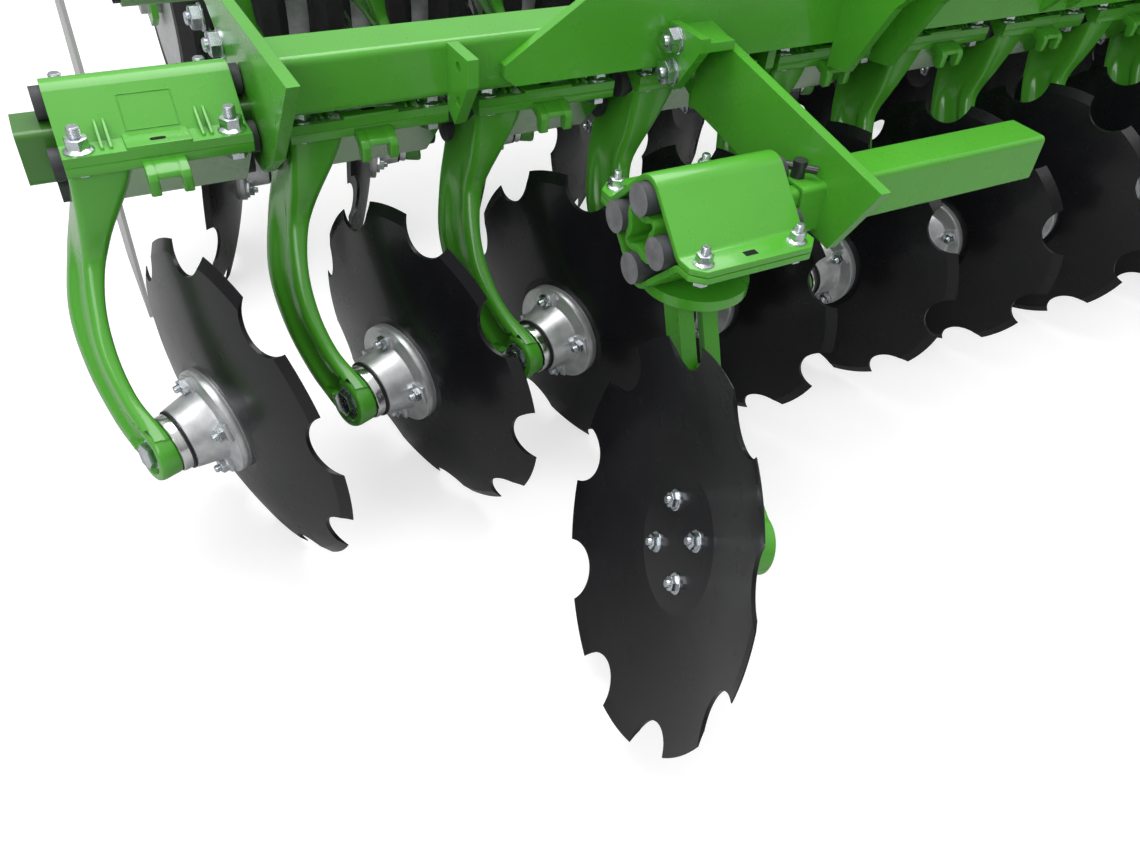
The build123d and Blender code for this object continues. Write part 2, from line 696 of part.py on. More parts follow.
# Telescopic edge discs: the left one here, the right one its mirror image
edge_y = NEAR_BEAM_Y - EDGE_TUBE_FORWARD
with BuildPart() as edge_bracket:
    with BuildSketch(Plane.YZ.offset(EDGE_PLATE_X - PLATE / 2)):
        with BuildLine():
            Polyline(
                (plate_face, BEAM_Z + 107),
                (edge_y - 117, BEAM_Z + 38),
                (edge_y - 59, BEAM_Z - 66),
                (near_front - 140, BEAM_Z - 30),
                (plate_face, BEAM_Z - 9),
                (plate_face, BEAM_Z + 107),
            )
        make_face()
    extrude(amount=PLATE)
    with BuildSketch(Plane.YZ.offset(EDGE_PLATE_X - LUG_OFFSET - PLATE / 2)):
        with BuildLine():
            Polyline(
                (plate_face, CROSS_TUBE_TOP - 2),
                (plate_face, CROSS_TUBE_BOTTOM - 14),
                (plate_face - 29, CROSS_TUBE_BOTTOM - 14),
                (plate_face - LUG_REACH, CROSS_TUBE_BOTTOM + 50),
                (plate_face - LUG_REACH, CROSS_TUBE_TOP - 2),
                (plate_face, CROSS_TUBE_TOP - 2),
            )
        make_face()
    extrude(amount=PLATE)
    with BuildSketch(Plane.YZ.offset(EDGE_PLATE_X - LUG_OFFSET + PLATE / 2)):
        with Locations((plate_face, CROSS_TUBE_TOP - 8)):
            Rectangle(LUG_REACH, 12, align=(Align.MAX, Align.MAX))
    extrude(amount=LUG_OFFSET - PLATE)
    with BuildSketch(Plane.YZ.offset(EDGE_TUBE_LEFT)):
        with Locations((edge_y, EDGE_TUBE_Z)):
            RectangleRounded(EDGE_TUBE_SIDE, EDGE_TUBE_SIDE, 7)
    extrude(amount=EDGE_TUBE_LENGTH)
    with BuildSketch(Plane.YZ.offset(EDGE_TUBE_LEFT)):
        with Locations((edge_y, EDGE_TUBE_Z)):
            RectangleRounded(STAR_SIDE + 2 * STAR_CLEARANCE, STAR_SIDE + 2 * STAR_CLEARANCE, 3)
    extrude(amount=EDGE_TUBE_LENGTH - EDGE_TUBE_WALL, mode=Mode.SUBTRACT)

# Hollow four-pointed bar whose tips stand on the diagonals between the rods
star_left = EDGE_CLAMP_LEFT - STAR_END
star_right = EDGE_TUBE_LEFT + EDGE_TUBE_LENGTH - STAR_SHORT
with BuildPart() as star_bar:
    with BuildSketch(Plane.YZ.offset(star_left)):
        with Locations((edge_y, EDGE_TUBE_Z)):
            RectangleRounded(STAR_SIDE, STAR_SIDE, STAR_TIP)
            with PolarLocations(EDGE_ROD_OFFSET, 4):
                Circle(STAR_FLANK, mode=Mode.SUBTRACT)
    extrude(amount=star_right - star_left)
    with BuildSketch(Plane.YZ.offset(star_left)):
        with Locations((edge_y, EDGE_TUBE_Z)):
            RectangleRounded(STAR_SIDE - 2 * STAR_WALL, STAR_SIDE - 2 * STAR_WALL, STAR_TIP - STAR_WALL)
            with PolarLocations(EDGE_ROD_OFFSET, 4):
                Circle(STAR_FLANK + STAR_WAIST, mode=Mode.SUBTRACT)
    extrude(amount=star_right - star_left, mode=Mode.SUBTRACT)

with BuildPart() as edge_clamp:
    for up in (1, -1):
        with BuildSketch(Plane.YZ.offset(EDGE_CLAMP_LEFT)) as edge_profile:
            with BuildLine():
                fold = EDGE_OUTER - EDGE_CLAMP_WALL
                Polyline(
                    (edge_y - EDGE_FLANGE_REACH, EDGE_TUBE_Z),
                    (edge_y - EDGE_INNER, EDGE_TUBE_Z),
                    (edge_y, EDGE_TUBE_Z + up * EDGE_INNER),
                    (edge_y + EDGE_INNER, EDGE_TUBE_Z),
                    (edge_y + EDGE_FLANGE_REACH, EDGE_TUBE_Z),
                    (edge_y + EDGE_FLANGE_REACH, EDGE_TUBE_Z + up * EDGE_CLAMP_WALL),
                    (edge_y + fold, EDGE_TUBE_Z + up * EDGE_CLAMP_WALL),
                    (edge_y, EDGE_TUBE_Z + up * EDGE_OUTER),
                    (edge_y - fold, EDGE_TUBE_Z + up * EDGE_CLAMP_WALL),
                    (edge_y - EDGE_FLANGE_REACH, EDGE_TUBE_Z + up * EDGE_CLAMP_WALL),
                    (edge_y - EDGE_FLANGE_REACH, EDGE_TUBE_Z),
                )
            make_face()
            crest = edge_profile.vertices().sort_by_distance((edge_y, EDGE_TUBE_Z + up * EDGE_OUTER, 0))[0]
            fillet(crest, EDGE_RIDGE_RADIUS)
            hollow = edge_profile.vertices().sort_by_distance((edge_y, EDGE_TUBE_Z + up * EDGE_INNER, 0))[0]
            fillet(hollow, EDGE_RIDGE_RADIUS - EDGE_CLAMP_WALL)
        extrude(amount=EDGE_CLAMP_LENGTH)

with BuildPart() as edge_rods:
    with BuildSketch(Plane.YZ.offset(EDGE_CLAMP_LEFT - ROD_STANDOUT)):
        with Locations((edge_y, EDGE_TUBE_Z)):
            with PolarLocations(EDGE_ROD_OFFSET, 4):
                Circle(EDGE_ROD_RADIUS)
    extrude(amount=EDGE_CLAMP_LENGTH + 2 * ROD_STANDOUT)

# Swivel plate, slotted post and hub carrier of the edge disc
edge_axis = Vector(
    -cos(radians(EDGE_DISC_YAW)) * cos(radians(EDGE_DISC_TILT)),
    sin(radians(EDGE_DISC_YAW)) * cos(radians(EDGE_DISC_TILT)),
    sin(radians(EDGE_DISC_TILT)),
)
edge_centre = Vector(EDGE_DISC_X, NEAR_BEAM_Y - EDGE_DISC_FORWARD, EDGE_DISC_Z)
edge_eye_point = edge_centre - edge_axis * blade_rim
edge_level = Vector(edge_axis.Y, -edge_axis.X, 0).normalized()
edge_eye = Plane(origin=edge_eye_point, x_dir=edge_level, z_dir=edge_axis)
swivel_x = EDGE_CLAMP_LEFT + EDGE_CLAMP_LENGTH / 2
swivel_top = EDGE_TUBE_Z - (EDGE_OUTER - EDGE_RIDGE_RADIUS * (sqrt(2) - 1))
post_lean = tan(radians(POST_LEAN))
post_top = Vector(swivel_x, edge_y, swivel_top - SWIVEL_THICKNESS)
post_foot = Vector(swivel_x, edge_y - post_lean * (post_top.Z - POST_FOOT_Z), POST_FOOT_Z)
post_run = post_foot - post_top
post_plane = Plane(origin=post_top, x_dir=(1, 0, 0), z_dir=post_run)
carrier_start = post_foot - post_run.normalized() * 34
carrier_run = edge_eye_point - edge_axis * 6 - carrier_start
with BuildPart() as edge_post:
    with BuildSketch(Plane.XY.offset(swivel_top)):
        with Locations((swivel_x, edge_y)):
            Circle(SWIVEL_RADIUS)
    extrude(amount=-SWIVEL_THICKNESS)
    with BuildSketch(post_plane.offset(-6)):
        Rectangle(POST_WIDTH, 12)
        with Locations((-POST_WIDTH / 2 + 5, -13), (POST_WIDTH / 2 - 5, -13)):
            Rectangle(10, 26)
    extrude(amount=post_run.length + 6)
    with BuildSketch(Plane(origin=post_top + post_run * 0.5, x_dir=post_run, z_dir=post_plane.y_dir)):
        SlotOverall(post_run.length * 0.6, 13)
    extrude(amount=12, both=True, mode=Mode.SUBTRACT)
    with BuildSketch(Plane(origin=carrier_start, x_dir=(0, 0, 1), z_dir=carrier_run)):
        RectangleRounded(64, 24, 6)
    extrude(amount=carrier_run.length)
    with BuildSketch(edge_eye.offset(-EYE_FRONT)):
        Circle(EYE_RADIUS)
    extrude(amount=EYE_FRONT + EYE_BACK)
    with BuildSketch(edge_eye.offset(EYE_BACK)):
        Circle(EYE_RADIUS + 12)
    extrude(amount=70, mode=Mode.SUBTRACT)
    split(bisect_by=Plane.XY.offset(swivel_top), keep=Keep.BOTTOM)
    with Locations(Location(edge_eye)):
        add(spindle.part)

with BuildPart() as edge_disc:
    with Locations(Location(edge_eye) * Location((0, 0, 0), (0, 0, EDGE_DISC_PHASE))):
        add(rotor.part)

# Locking pin with its cross handle, standing on the square tube
pin_top = EDGE_TUBE_Z + EDGE_TUBE_SIDE / 2
pin_x = EDGE_TUBE_LEFT + 15
handle_run = Vector(1, -1, 0).normalized()
handle_start = Vector(pin_x, edge_y, pin_top + PIN_HEAD_HEIGHT * 0.55) - handle_run * (PIN_HANDLE / 2)
with BuildPart() as edge_pin:
    with BuildSketch(Plane.XY.offset(pin_top)):
        with Locations((pin_x, edge_y)):
            Circle(PIN_HEAD_RADIUS)
    extrude(amount=PIN_HEAD_HEIGHT)
    with BuildSketch(Plane(origin=handle_start, x_dir=(0, 0, 1), z_dir=handle_run)):
        Circle(PIN_HANDLE_RADIUS)
    extrude(amount=PIN_HANDLE)

for base, piece in (("edge_brackets", edge_bracket), ("edge_pins", edge_pin)):
    with BuildPart() as pair:
        add(piece.part)
        mirror(piece.part, about=Plane.YZ)
    pair.part.label = base
    export_step(pair.part, "parts/" + base + ".step")

edge_pieces = (
    ("edge_star_bar", star_bar),
    ("edge_clamp", edge_clamp),
    ("edge_rubber_rods", edge_rods),
    ("edge_post", edge_post),
    ("edge_disc", edge_disc),
)
for base, piece in edge_pieces:
    piece.part.label = base + "_left"
    export_step(piece.part, "parts/" + base + "_left.step")
    with BuildPart() as twin:
        mirror(piece.part, about=Plane.YZ)
    twin.part.label = base + "_right"
    export_step(twin.part, "parts/" + base + "_right.step")

# Roller: drum with its axle and rubber rings
ring_pitch = (2 * ROLLER_HALF_LENGTH - ROLLER_RING_WIDTH) / (ROLLER_RING_COUNT - 1)
ring_places = [-ROLLER_HALF_LENGTH + ring_pitch * i for i in range(ROLLER_RING_COUNT)]
with BuildPart() as roller_drum:
    with BuildSketch(Plane.YZ.offset(-ROLLER_HALF_LENGTH)):
        with Locations((ROLLER_Y, ROLLER_RADIUS)):
            Circle(ROLLER_DRUM_RADIUS)
    extrude(amount=2 * ROLLER_HALF_LENGTH)
    with BuildSketch(Plane.YZ.offset(-ROLLER_HALF_LENGTH + ROLLER_DRUM_WALL)):
        with Locations((ROLLER_Y, ROLLER_RADIUS)):
            Circle(ROLLER_DRUM_RADIUS - ROLLER_DRUM_WALL)
    extrude(amount=2 * ROLLER_HALF_LENGTH - 2 * ROLLER_DRUM_WALL, mode=Mode.SUBTRACT)
    with BuildSketch(Plane.YZ.offset(-ROLLER_HALF_LENGTH - ROLLER_STUB)):
        with Locations((ROLLER_Y, ROLLER_RADIUS)):
            Circle(ROLLER_AXLE_RADIUS)
    extrude(amount=2 * ROLLER_HALF_LENGTH + 2 * ROLLER_STUB)
roller_drum.part.label = "roller_drum"
export_step(roller_drum.part, "parts/roller_drum.step")

with BuildPart() as roller_rings:
    for x in ring_places:
        with BuildSketch(Plane.XY.offset(ROLLER_RADIUS)):
            with BuildLine():
                Polyline(
                    (x, ROLLER_Y + ROLLER_DRUM_RADIUS),
                    (x, ROLLER_Y + ROLLER_RADIUS - 30),
                    (x + 26, ROLLER_Y + ROLLER_RADIUS),
                    (x + ROLLER_RING_WIDTH - 26, ROLLER_Y + ROLLER_RADIUS),
                    (x + ROLLER_RING_WIDTH, ROLLER_Y + ROLLER_RADIUS - 30),
                    (x + ROLLER_RING_WIDTH, ROLLER_Y + ROLLER_DRUM_RADIUS),
                    (x, ROLLER_Y + ROLLER_DRUM_RADIUS),
                )
            make_face()
        revolve(axis=Axis((0, ROLLER_Y, ROLLER_RADIUS), (1, 0, 0)))
roller_rings.part.label = "roller_rings"
export_step(roller_rings.part, "parts/roller_rings.step")

# Roller frame: beam behind the lengthwise tubes and an arm down to each end of the axle
ROLLER_ARM_X = ROLLER_HALF_LENGTH + 12
roller_beam_z = CROSS_TUBE_TOP + LONG_TUBE_HEIGHT / 2
beam_half = ROLLER_BEAM_SIDE / 2
with BuildPart() as roller_frame:
    for x in (-ROLLER_ARM_X - PLATE, ROLLER_ARM_X):
        with BuildSketch(Plane.YZ.offset(x)):
            with BuildLine():
                Polyline(
                    (ROLLER_Y - 55, ROLLER_RADIUS - 20),
                    (ROLLER_Y, ROLLER_RADIUS - 55),
                    (ROLLER_Y + 55, ROLLER_RADIUS - 20),
                    (ROLLER_Y + 55, ROLLER_RADIUS + 60),
                    (roller_beam_y + beam_half + 12, roller_beam_z + beam_half + 10),
                    (roller_beam_y - beam_half - 12, roller_beam_z + beam_half + 10),
                    (roller_beam_y - beam_half - 12, roller_beam_z - beam_half - 30),
                    (ROLLER_Y - 55, ROLLER_RADIUS + 60),
                    (ROLLER_Y - 55, ROLLER_RADIUS - 20),
                )
            make_face()
            with Locations((ROLLER_Y, ROLLER_RADIUS)):
                Circle(ROLLER_AXLE_RADIUS + HUB_BORE_CLEARANCE, mode=Mode.SUBTRACT)
        extrude(amount=PLATE)
    with BuildSketch(Plane.YZ.offset(-ROLLER_ARM_X)):
        with Locations((roller_beam_y, roller_beam_z)):
            RectangleRounded(ROLLER_BEAM_SIDE, ROLLER_BEAM_SIDE, 9)
            RectangleRounded(
                ROLLER_BEAM_SIDE - 2 * CROSS_TUBE_WALL,
                ROLLER_BEAM_SIDE - 2 * CROSS_TUBE_WALL,
                4,
                mode=Mode.SUBTRACT,
            )
    extrude(amount=2 * ROLLER_ARM_X)
roller_frame.part.label = "roller_frame"
export_step(roller_frame.part, "parts/roller_frame.step")

# Scraper bars between the rings, hung from the roller's beam
bar_front = roller_beam_y + beam_half
bar_z = roller_beam_z + beam_half
with BuildPart() as scrapers:
    for x in ring_places[:-1]:
        with BuildSketch(Plane.YZ.offset(x + ROLLER_RING_WIDTH + SCRAPER_GAP)):
            with BuildLine():
                Polyline(
                    (bar_front, bar_z - 4),
                    (ROLLER_Y + 120, bar_z - 4),
                    (ROLLER_Y + ROLLER_RADIUS + 52, bar_z - 240),
                    (ROLLER_Y + ROLLER_RADIUS + 52, ROLLER_RADIUS + 90),
                    (ROLLER_Y + ROLLER_DRUM_RADIUS + 10, ROLLER_RADIUS + 40),
                    (ROLLER_Y + ROLLER_RADIUS + 22, bar_z - 250),
                    (ROLLER_Y + 100, bar_z - 30),
                    (bar_front, bar_z - 30),
                    (bar_front, bar_z - 4),
                )
            make_face()
        extrude(amount=ring_pitch - ROLLER_RING_WIDTH - 2 * SCRAPER_GAP)
scrapers.part.label = "scrapers"
export_step(scrapers.part, "parts/scrapers.step")

# Thin side deflector plate beside the far row, hung on a short arm
with BuildPart() as deflector:
    with BuildSketch(Plane.YZ.offset(-DEFLECTOR_X)):
        with BuildLine():
            Polyline(
                (NEAR_BEAM_Y + 290, 70),
                (NEAR_BEAM_Y + 520, 60),
                (NEAR_BEAM_Y + 600, 200),
                (NEAR_BEAM_Y + 560, 640),
                (NEAR_BEAM_Y + 400, 640),
                (NEAR_BEAM_Y + 310, 330),
                (NEAR_BEAM_Y + 290, 70),
            )
        make_face()
    extrude(amount=DEFLECTOR_PLATE)
    with BuildSketch(Plane.YZ.offset(-DEFLECTOR_X + DEFLECTOR_PLATE)):
        with Locations((NEAR_BEAM_Y + 470, PLATE_TOP - 19)):
            Rectangle(60, 28)
    extrude(amount=DEFLECTOR_X - DEFLECTOR_PLATE - END_PLATE_X - PLATE / 2)
deflector.part.label = "side_deflector"
export_step(deflector.part, "parts/side_deflector.step")
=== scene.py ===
from math import atan2, cos, hypot, pi, radians, sin, sqrt, tan

import bpy
from mathutils import Matrix, Vector


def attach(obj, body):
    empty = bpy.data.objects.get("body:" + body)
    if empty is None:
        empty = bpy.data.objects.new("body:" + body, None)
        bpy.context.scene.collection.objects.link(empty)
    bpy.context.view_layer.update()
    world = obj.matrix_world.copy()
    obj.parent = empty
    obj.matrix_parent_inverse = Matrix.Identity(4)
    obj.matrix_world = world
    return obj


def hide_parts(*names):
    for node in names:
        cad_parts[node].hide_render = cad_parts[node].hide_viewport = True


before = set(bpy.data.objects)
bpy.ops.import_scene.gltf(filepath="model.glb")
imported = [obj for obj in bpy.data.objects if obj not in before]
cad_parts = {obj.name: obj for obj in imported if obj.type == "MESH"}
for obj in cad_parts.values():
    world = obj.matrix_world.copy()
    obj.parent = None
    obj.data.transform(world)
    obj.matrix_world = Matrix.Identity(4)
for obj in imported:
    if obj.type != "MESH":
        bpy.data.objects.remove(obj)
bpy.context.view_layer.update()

# Places and sizes repeated from the CAD source, in metres
PITCH = 0.25
ROW_COUNT = 12
NEAR_Y = -0.372
FAR_Y = 0.332
BEAM_Z = 0.523
FIRST_X = -1.4575
YAW = radians(16.9)
TILT = radians(3.8)
EYE = Vector((-0.108, -0.2336, -0.3013))
HALF_CLAMP = 0.1035
FLANGE_TOP = 0.025
FLANGE_LOW = 0.002
FLANGE_GAP = 0.014
FLANGE_REACH = 0.097
INNER = 0.07861
OUTER = 0.08710
EDGE_Y = -0.772
EDGE_Z = 0.500
EDGE_CLAMP = (-0.9895, -0.8125)
EDGE_WALL = 0.008
EDGE_MIDDLE = 0.0784
EDGE_YAW = radians(15)
EDGE_TILT = radians(13.3)
EDGE_DISC = Vector((-1.096, -1.020, 0.2664))
EDGE_EYE_TO_DISC = 0.131
BRACKET_OUTSIDE = 0.8
SIDE_PLATE_OUTSIDE = 1.34

# Turn of each hub about its axle, in degrees
PHASES = (20.5, 38.3, 31.9, 12, 4, 18, 9, 15, 2, 11, 19, 6)
EDGE_PHASE = 3.2

MIRROR = Matrix.Scale(-1, 4, (1, 0, 0))
HALF_TURN = Matrix.Rotation(pi, 4, "X")
SIDES = (("left", -1), ("right", 1))
ROWS = ("near", "far")


# Camera

CAMERA_PLACE = (-1.55793, -1.56117, 1.04977)
cam_data = bpy.data.cameras.new("camera")
cam_data.sensor_width = 36
cam_data.lens = 29.48
cam_data.clip_start = 0.05
cam_data.clip_end = 80
camera = bpy.data.objects.new("camera", cam_data)
bpy.context.scene.collection.objects.link(camera)
bpy.context.scene.camera = camera
cam_az, cam_el, cam_roll = radians(-32.075), radians(41.639), radians(5.427)
look = Vector((-sin(cam_az) * cos(cam_el), cos(cam_az) * cos(cam_el), -sin(cam_el)))
level = Vector((cos(cam_az), sin(cam_az), 0))
rise = level.cross(look)
right = level * cos(cam_roll) + rise * sin(cam_roll)
up = rise * cos(cam_roll) - level * sin(cam_roll)
camera.matrix_world = Matrix((
    (right.x, up.x, -look.x, CAMERA_PLACE[0]),
    (right.y, up.y, -look.y, CAMERA_PLACE[1]),
    (right.z, up.z, -look.z, CAMERA_PLACE[2]),
    (0, 0, 0, 1),
))


# Materials

class Graph:
    """Node graph of one material round a Principled shader, with object coordinates ready."""

    def __init__(self, name):
        self.material = bpy.data.materials.new(name)
        self.material.use_nodes = True
        self.tree = self.material.node_tree
        self.tree.nodes.clear()
        self.out = self.node("ShaderNodeOutputMaterial")
        self.shader = self.node("ShaderNodeBsdfPrincipled")
        self.link(self.shader.outputs[0], self.out.inputs["Surface"])
        self.place = self.node("ShaderNodeTexCoord").outputs["Object"]

    def node(self, kind, **settings):
        made = self.tree.nodes.new(kind)
        for key, value in settings.items():
            setattr(made, key, value)
        return made

    def link(self, a, b):
        self.tree.links.new(a, b)

    def drive(self, socket, value):
        self.link(value, self.shader.inputs[socket])

    def put(self, **values):
        for key, value in values.items():
            self.shader.inputs[key.replace("_", " ")].default_value = value

    def noise(self, scale, detail=2.0, rough=0.5, stretch=None):
        made = self.node("ShaderNodeTexNoise")
        made.inputs["Scale"].default_value = scale
        made.inputs["Detail"].default_value = detail
        made.inputs["Roughness"].default_value = rough
        source = self.place
        if stretch:
            mapping = self.node("ShaderNodeMapping")
            mapping.inputs["Scale"].default_value = stretch
            self.link(self.place, mapping.inputs["Vector"])
            source = mapping.outputs[0]
        self.link(source, made.inputs["Vector"])
        return made.outputs["Fac"]

    def ramp(self, value, stops):
        made = self.node("ShaderNodeValToRGB")
        band = made.color_ramp
        while len(band.elements) < len(stops):
            band.elements.new(0.5)
        for element, (place, colour) in zip(band.elements, stops):
            element.position = place
            element.color = (*colour, 1)
        self.link(value, made.inputs[0])
        return made.outputs[0]

    def span(self, value, low, high):
        made = self.node("ShaderNodeMapRange")
        made.inputs["To Min"].default_value = low
        made.inputs["To Max"].default_value = high
        self.link(value, made.inputs["Value"])
        return made.outputs[0]

    def bump(self, value, strength, distance, rounding=0.0):
        made = self.node("ShaderNodeBump")
        made.inputs["Strength"].default_value = strength
        made.inputs["Distance"].default_value = distance
        self.link(value, made.inputs["Height"])
        if rounding:
            edge = self.node("ShaderNodeBevel", samples=4)
            edge.inputs["Radius"].default_value = rounding
            self.link(edge.outputs[0], made.inputs["Normal"])
        self.link(made.outputs[0], self.shader.inputs["Normal"])


def shade(colour, factor):
    return tuple(min(1.0, c * factor) for c in colour)


def paint(name, colour, rough, peel=0.05, rounding=0.0012, vary=0.08):
    """Sprayed gloss paint: soft cloudiness in the colour, orange peel, rounded edges."""
    g = Graph(name)
    cloud = g.noise(5.0, 3.0)
    tint = g.ramp(cloud, ((0.3, shade(colour, 1 - vary)), (0.7, shade(colour, 1 + vary))))
    g.drive("Base Color", tint)
    g.drive("Roughness", g.span(g.noise(38.0, 4.0), rough * 0.8, rough * 1.25))
    g.put(Specular_IOR_Level=0.5, Coat_Weight=0.35, Coat_Roughness=0.08)
    g.bump(g.noise(420.0, 2.0), peel, 0.0006, rounding)
    return g.material


def cast_metal(name, colour, rough, grain, metallic):
    """Cast or plated metal with a grainy skin."""
    g = Graph(name)
    spots = g.noise(60.0, 5.0, 0.6)
    g.drive("Base Color", g.ramp(spots, ((0.35, shade(colour, 0.86)), (0.65, shade(colour, 1.08)))))
    g.drive("Roughness", g.span(g.noise(150.0, 3.0), rough * 0.75, rough * 1.3))
    g.put(Metallic=metallic)
    g.bump(g.noise(700.0, 3.0, 0.6), grain, 0.0005, 0.0008)
    return g.material


def turned_steel(name, colour, rough):
    """Machined steel with fine lines."""
    g = Graph(name)
    lines = g.noise(30.0, 3.0, 0.6, stretch=(40.0, 2.0, 2.0))
    g.drive("Base Color", g.ramp(lines, ((0.3, shade(colour, 0.82)), (0.7, shade(colour, 1.05)))))
    g.drive("Roughness", g.span(lines, rough * 0.7, rough * 1.4))
    g.put(Metallic=1.0)
    g.bump(g.noise(900.0, 2.0), 0.04, 0.0003, 0.0005)
    return g.material


def blade_paint(name):
    """Black gloss lacquer over rolled steel: faint cloud, tiny dust pits."""
    g = Graph(name)
    cloud = g.noise(9.0, 4.0, 0.6)
    g.drive("Base Color", g.ramp(cloud, ((0.3, (0.005, 0.005, 0.006)), (0.75, (0.010, 0.010, 0.012)))))
    g.drive("Roughness", g.span(g.noise(26.0, 4.0), 0.20, 0.32))
    g.put(Specular_IOR_Level=0.26, Coat_Weight=0.08, Coat_Roughness=0.08)
    g.bump(g.noise(300.0, 3.0), 0.035, 0.0006, 0.0008)
    return g.material


def rubber(name, colour, rough):
    """Moulded rubber: matt, mottled, fine pores."""
    g = Graph(name)
    mottle = g.noise(45.0, 5.0, 0.65)
    g.drive("Base Color", g.ramp(mottle, ((0.3, shade(colour, 0.75)), (0.7, shade(colour, 1.3)))))
    g.drive("Roughness", g.span(g.noise(120.0, 3.0), rough * 0.85, min(1.0, rough * 1.15)))
    g.put(Specular_IOR_Level=0.35)
    g.bump(g.noise(800.0, 4.0, 0.7), 0.25, 0.0005, 0.001)
    return g.material


GREEN = paint("green_gloss", (0.080, 0.385, 0.028), 0.28)
# Darker copy of the green paint for the disc beams: painted shade for their shaded front and lower faces
BEAM_SHADED_GREEN = paint("green_beam_painted_shade", (0.050, 0.190, 0.024), 0.34)
CASTING = paint("green_casting", (0.076, 0.370, 0.027), 0.24, peel=0.12, rounding=0.0016)
BLADE = blade_paint("black_blade")
ROD = rubber("rod_rubber", (0.055, 0.055, 0.062), 0.55)
RING = rubber("ring_rubber", (0.018, 0.018, 0.019), 0.6)
# End faces of the rubber rods: a lighter grey, partly the cut ends' own tone and partly painted sheen
ROD_END_TONE_AND_SHEEN = rubber("rod_end_tone_and_painted_sheen", (0.20, 0.20, 0.21), 0.38)
SEAL = rubber("seal_rubber", (0.012, 0.012, 0.013), 0.5)
HUB = cast_metal("silver_hub", (0.60, 0.61, 0.62), 0.34, 0.22, 0.75)
ZINC = cast_metal("zinc_bolt", (0.62, 0.66, 0.70), 0.25, 0.10, 1.0)
STEEL = turned_steel("turned_collar", (0.78, 0.78, 0.79), 0.16)
DARK = paint("dark_steel", (0.02, 0.02, 0.022), 0.35)
DRUM = cast_metal("silver_drum", (0.55, 0.56, 0.57), 0.36, 0.12, 0.6)
GREY = paint("grey_plate", (0.42, 0.42, 0.42), 0.45, peel=0.08)
# Near-black matt patches laid on the flanges: painted shadow in place of slots that are not cut through
SLOT_SHADOW = rubber("hole_shadow", (0.004, 0.006, 0.004), 0.9)


# Mesh tools

class Pile:
    """Vertices and faces gathered from many copies, with a material for each face."""

    def __init__(self):
        self.verts, self.faces, self.kinds, self.materials = [], [], [], []

    def add(self, shape, material, matrix=None, flip=False):
        verts, faces = shape
        start = len(self.verts)
        if matrix is None:
            self.verts.extend(tuple(v) for v in verts)
        else:
            self.verts.extend(tuple(matrix @ Vector(v)) for v in verts)
        if material not in self.materials:
            self.materials.append(material)
        kind = self.materials.index(material)
        for face in faces:
            face = tuple(start + i for i in face)
            self.faces.append(face[::-1] if flip else face)
            self.kinds.append(kind)

    def add_set(self, shapes, base, flip=False):
        for shape, material, extra in shapes:
            self.add(shape, material, base if extra is None else base @ extra, flip)

    def mesh(self, name, sharp=35):
        made = bpy.data.meshes.new(name)
        made.from_pydata(self.verts, [], self.faces)
        for material in self.materials:
            made.materials.append(material)
        made.polygons.foreach_set("material_index", self.kinds)
        made.shade_smooth()
        made.set_sharp_from_angle(angle=radians(sharp))
        made.validate()
        return made


def place(name, mesh, body, matrix=None, slot=None):
    made = bpy.data.objects.new(name, mesh)
    bpy.context.scene.collection.objects.link(made)
    if matrix is not None:
        made.matrix_world = matrix
    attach(made, body)
    return made


def rounded(shape, width, segments=2, angle=30):
    """A shape with its sharp edges rounded by a bevel, as plain vertices and faces."""
    mesh = bpy.data.meshes.new("shape")
    mesh.from_pydata([tuple(v) for v in shape[0]], [], shape[1])
    mesh.update()
    made = bpy.data.objects.new("shape", mesh)
    bpy.context.scene.collection.objects.link(made)
    bevel = made.modifiers.new("bevel", "BEVEL")
    bevel.width = width
    bevel.segments = segments
    bevel.limit_method = "ANGLE"
    bevel.angle_limit = radians(angle)
    bevel.harden_normals = False
    graph = bpy.context.evaluated_depsgraph_get()
    result = bpy.data.meshes.new_from_object(made.evaluated_get(graph))
    verts = [tuple(v.co) for v in result.vertices]
    faces = [tuple(p.vertices) for p in result.polygons]
    bpy.data.objects.remove(made)
    bpy.data.meshes.remove(result)
    return verts, faces


def lathe(profile, count):
    """Turned shape about Z from (radius, height) points; a radius of 0 closes on the axis."""
    verts, faces, rings = [], [], []
    for radius, height in profile:
        if radius < 1e-7:
            rings.append([len(verts)])
            verts.append((0, 0, height))
        else:
            rings.append(list(range(len(verts), len(verts) + count)))
            for i in range(count):
                angle = 2 * pi * i / count
                verts.append((radius * cos(angle), radius * sin(angle), height))
    for low, high in zip(rings, rings[1:]):
        for i in range(count):
            j = (i + 1) % count
            if len(low) == 1 and len(high) == 1:
                continue
            if len(low) == 1:
                faces.append((low[0], high[j], high[i]))
            elif len(high) == 1:
                faces.append((low[i], low[j], high[0]))
            else:
                faces.append((low[i], low[j], high[j], high[i]))
    return verts, faces


def prism(outline, low, high):
    """Straight shape along Z from a counter-clockwise outline."""
    count = len(outline)
    verts = [(x, y, low) for x, y in outline] + [(x, y, high) for x, y in outline]
    faces = [tuple(range(count - 1, -1, -1)), tuple(range(count, 2 * count))]
    faces += [(i, (i + 1) % count, count + (i + 1) % count, count + i) for i in range(count)]
    return verts, faces


def across(outline, low, high):
    """Straight shape along X from an outline in Y and Z."""
    verts, faces = prism(outline, low, high)
    return [(z, x, y) for x, y, z in verts], faces


def sided(outline, side):
    """An outline in Y and Z, or its mirror image that runs round the same way."""
    return outline if side > 0 else [(-y, z) for y, z in reversed(outline)]


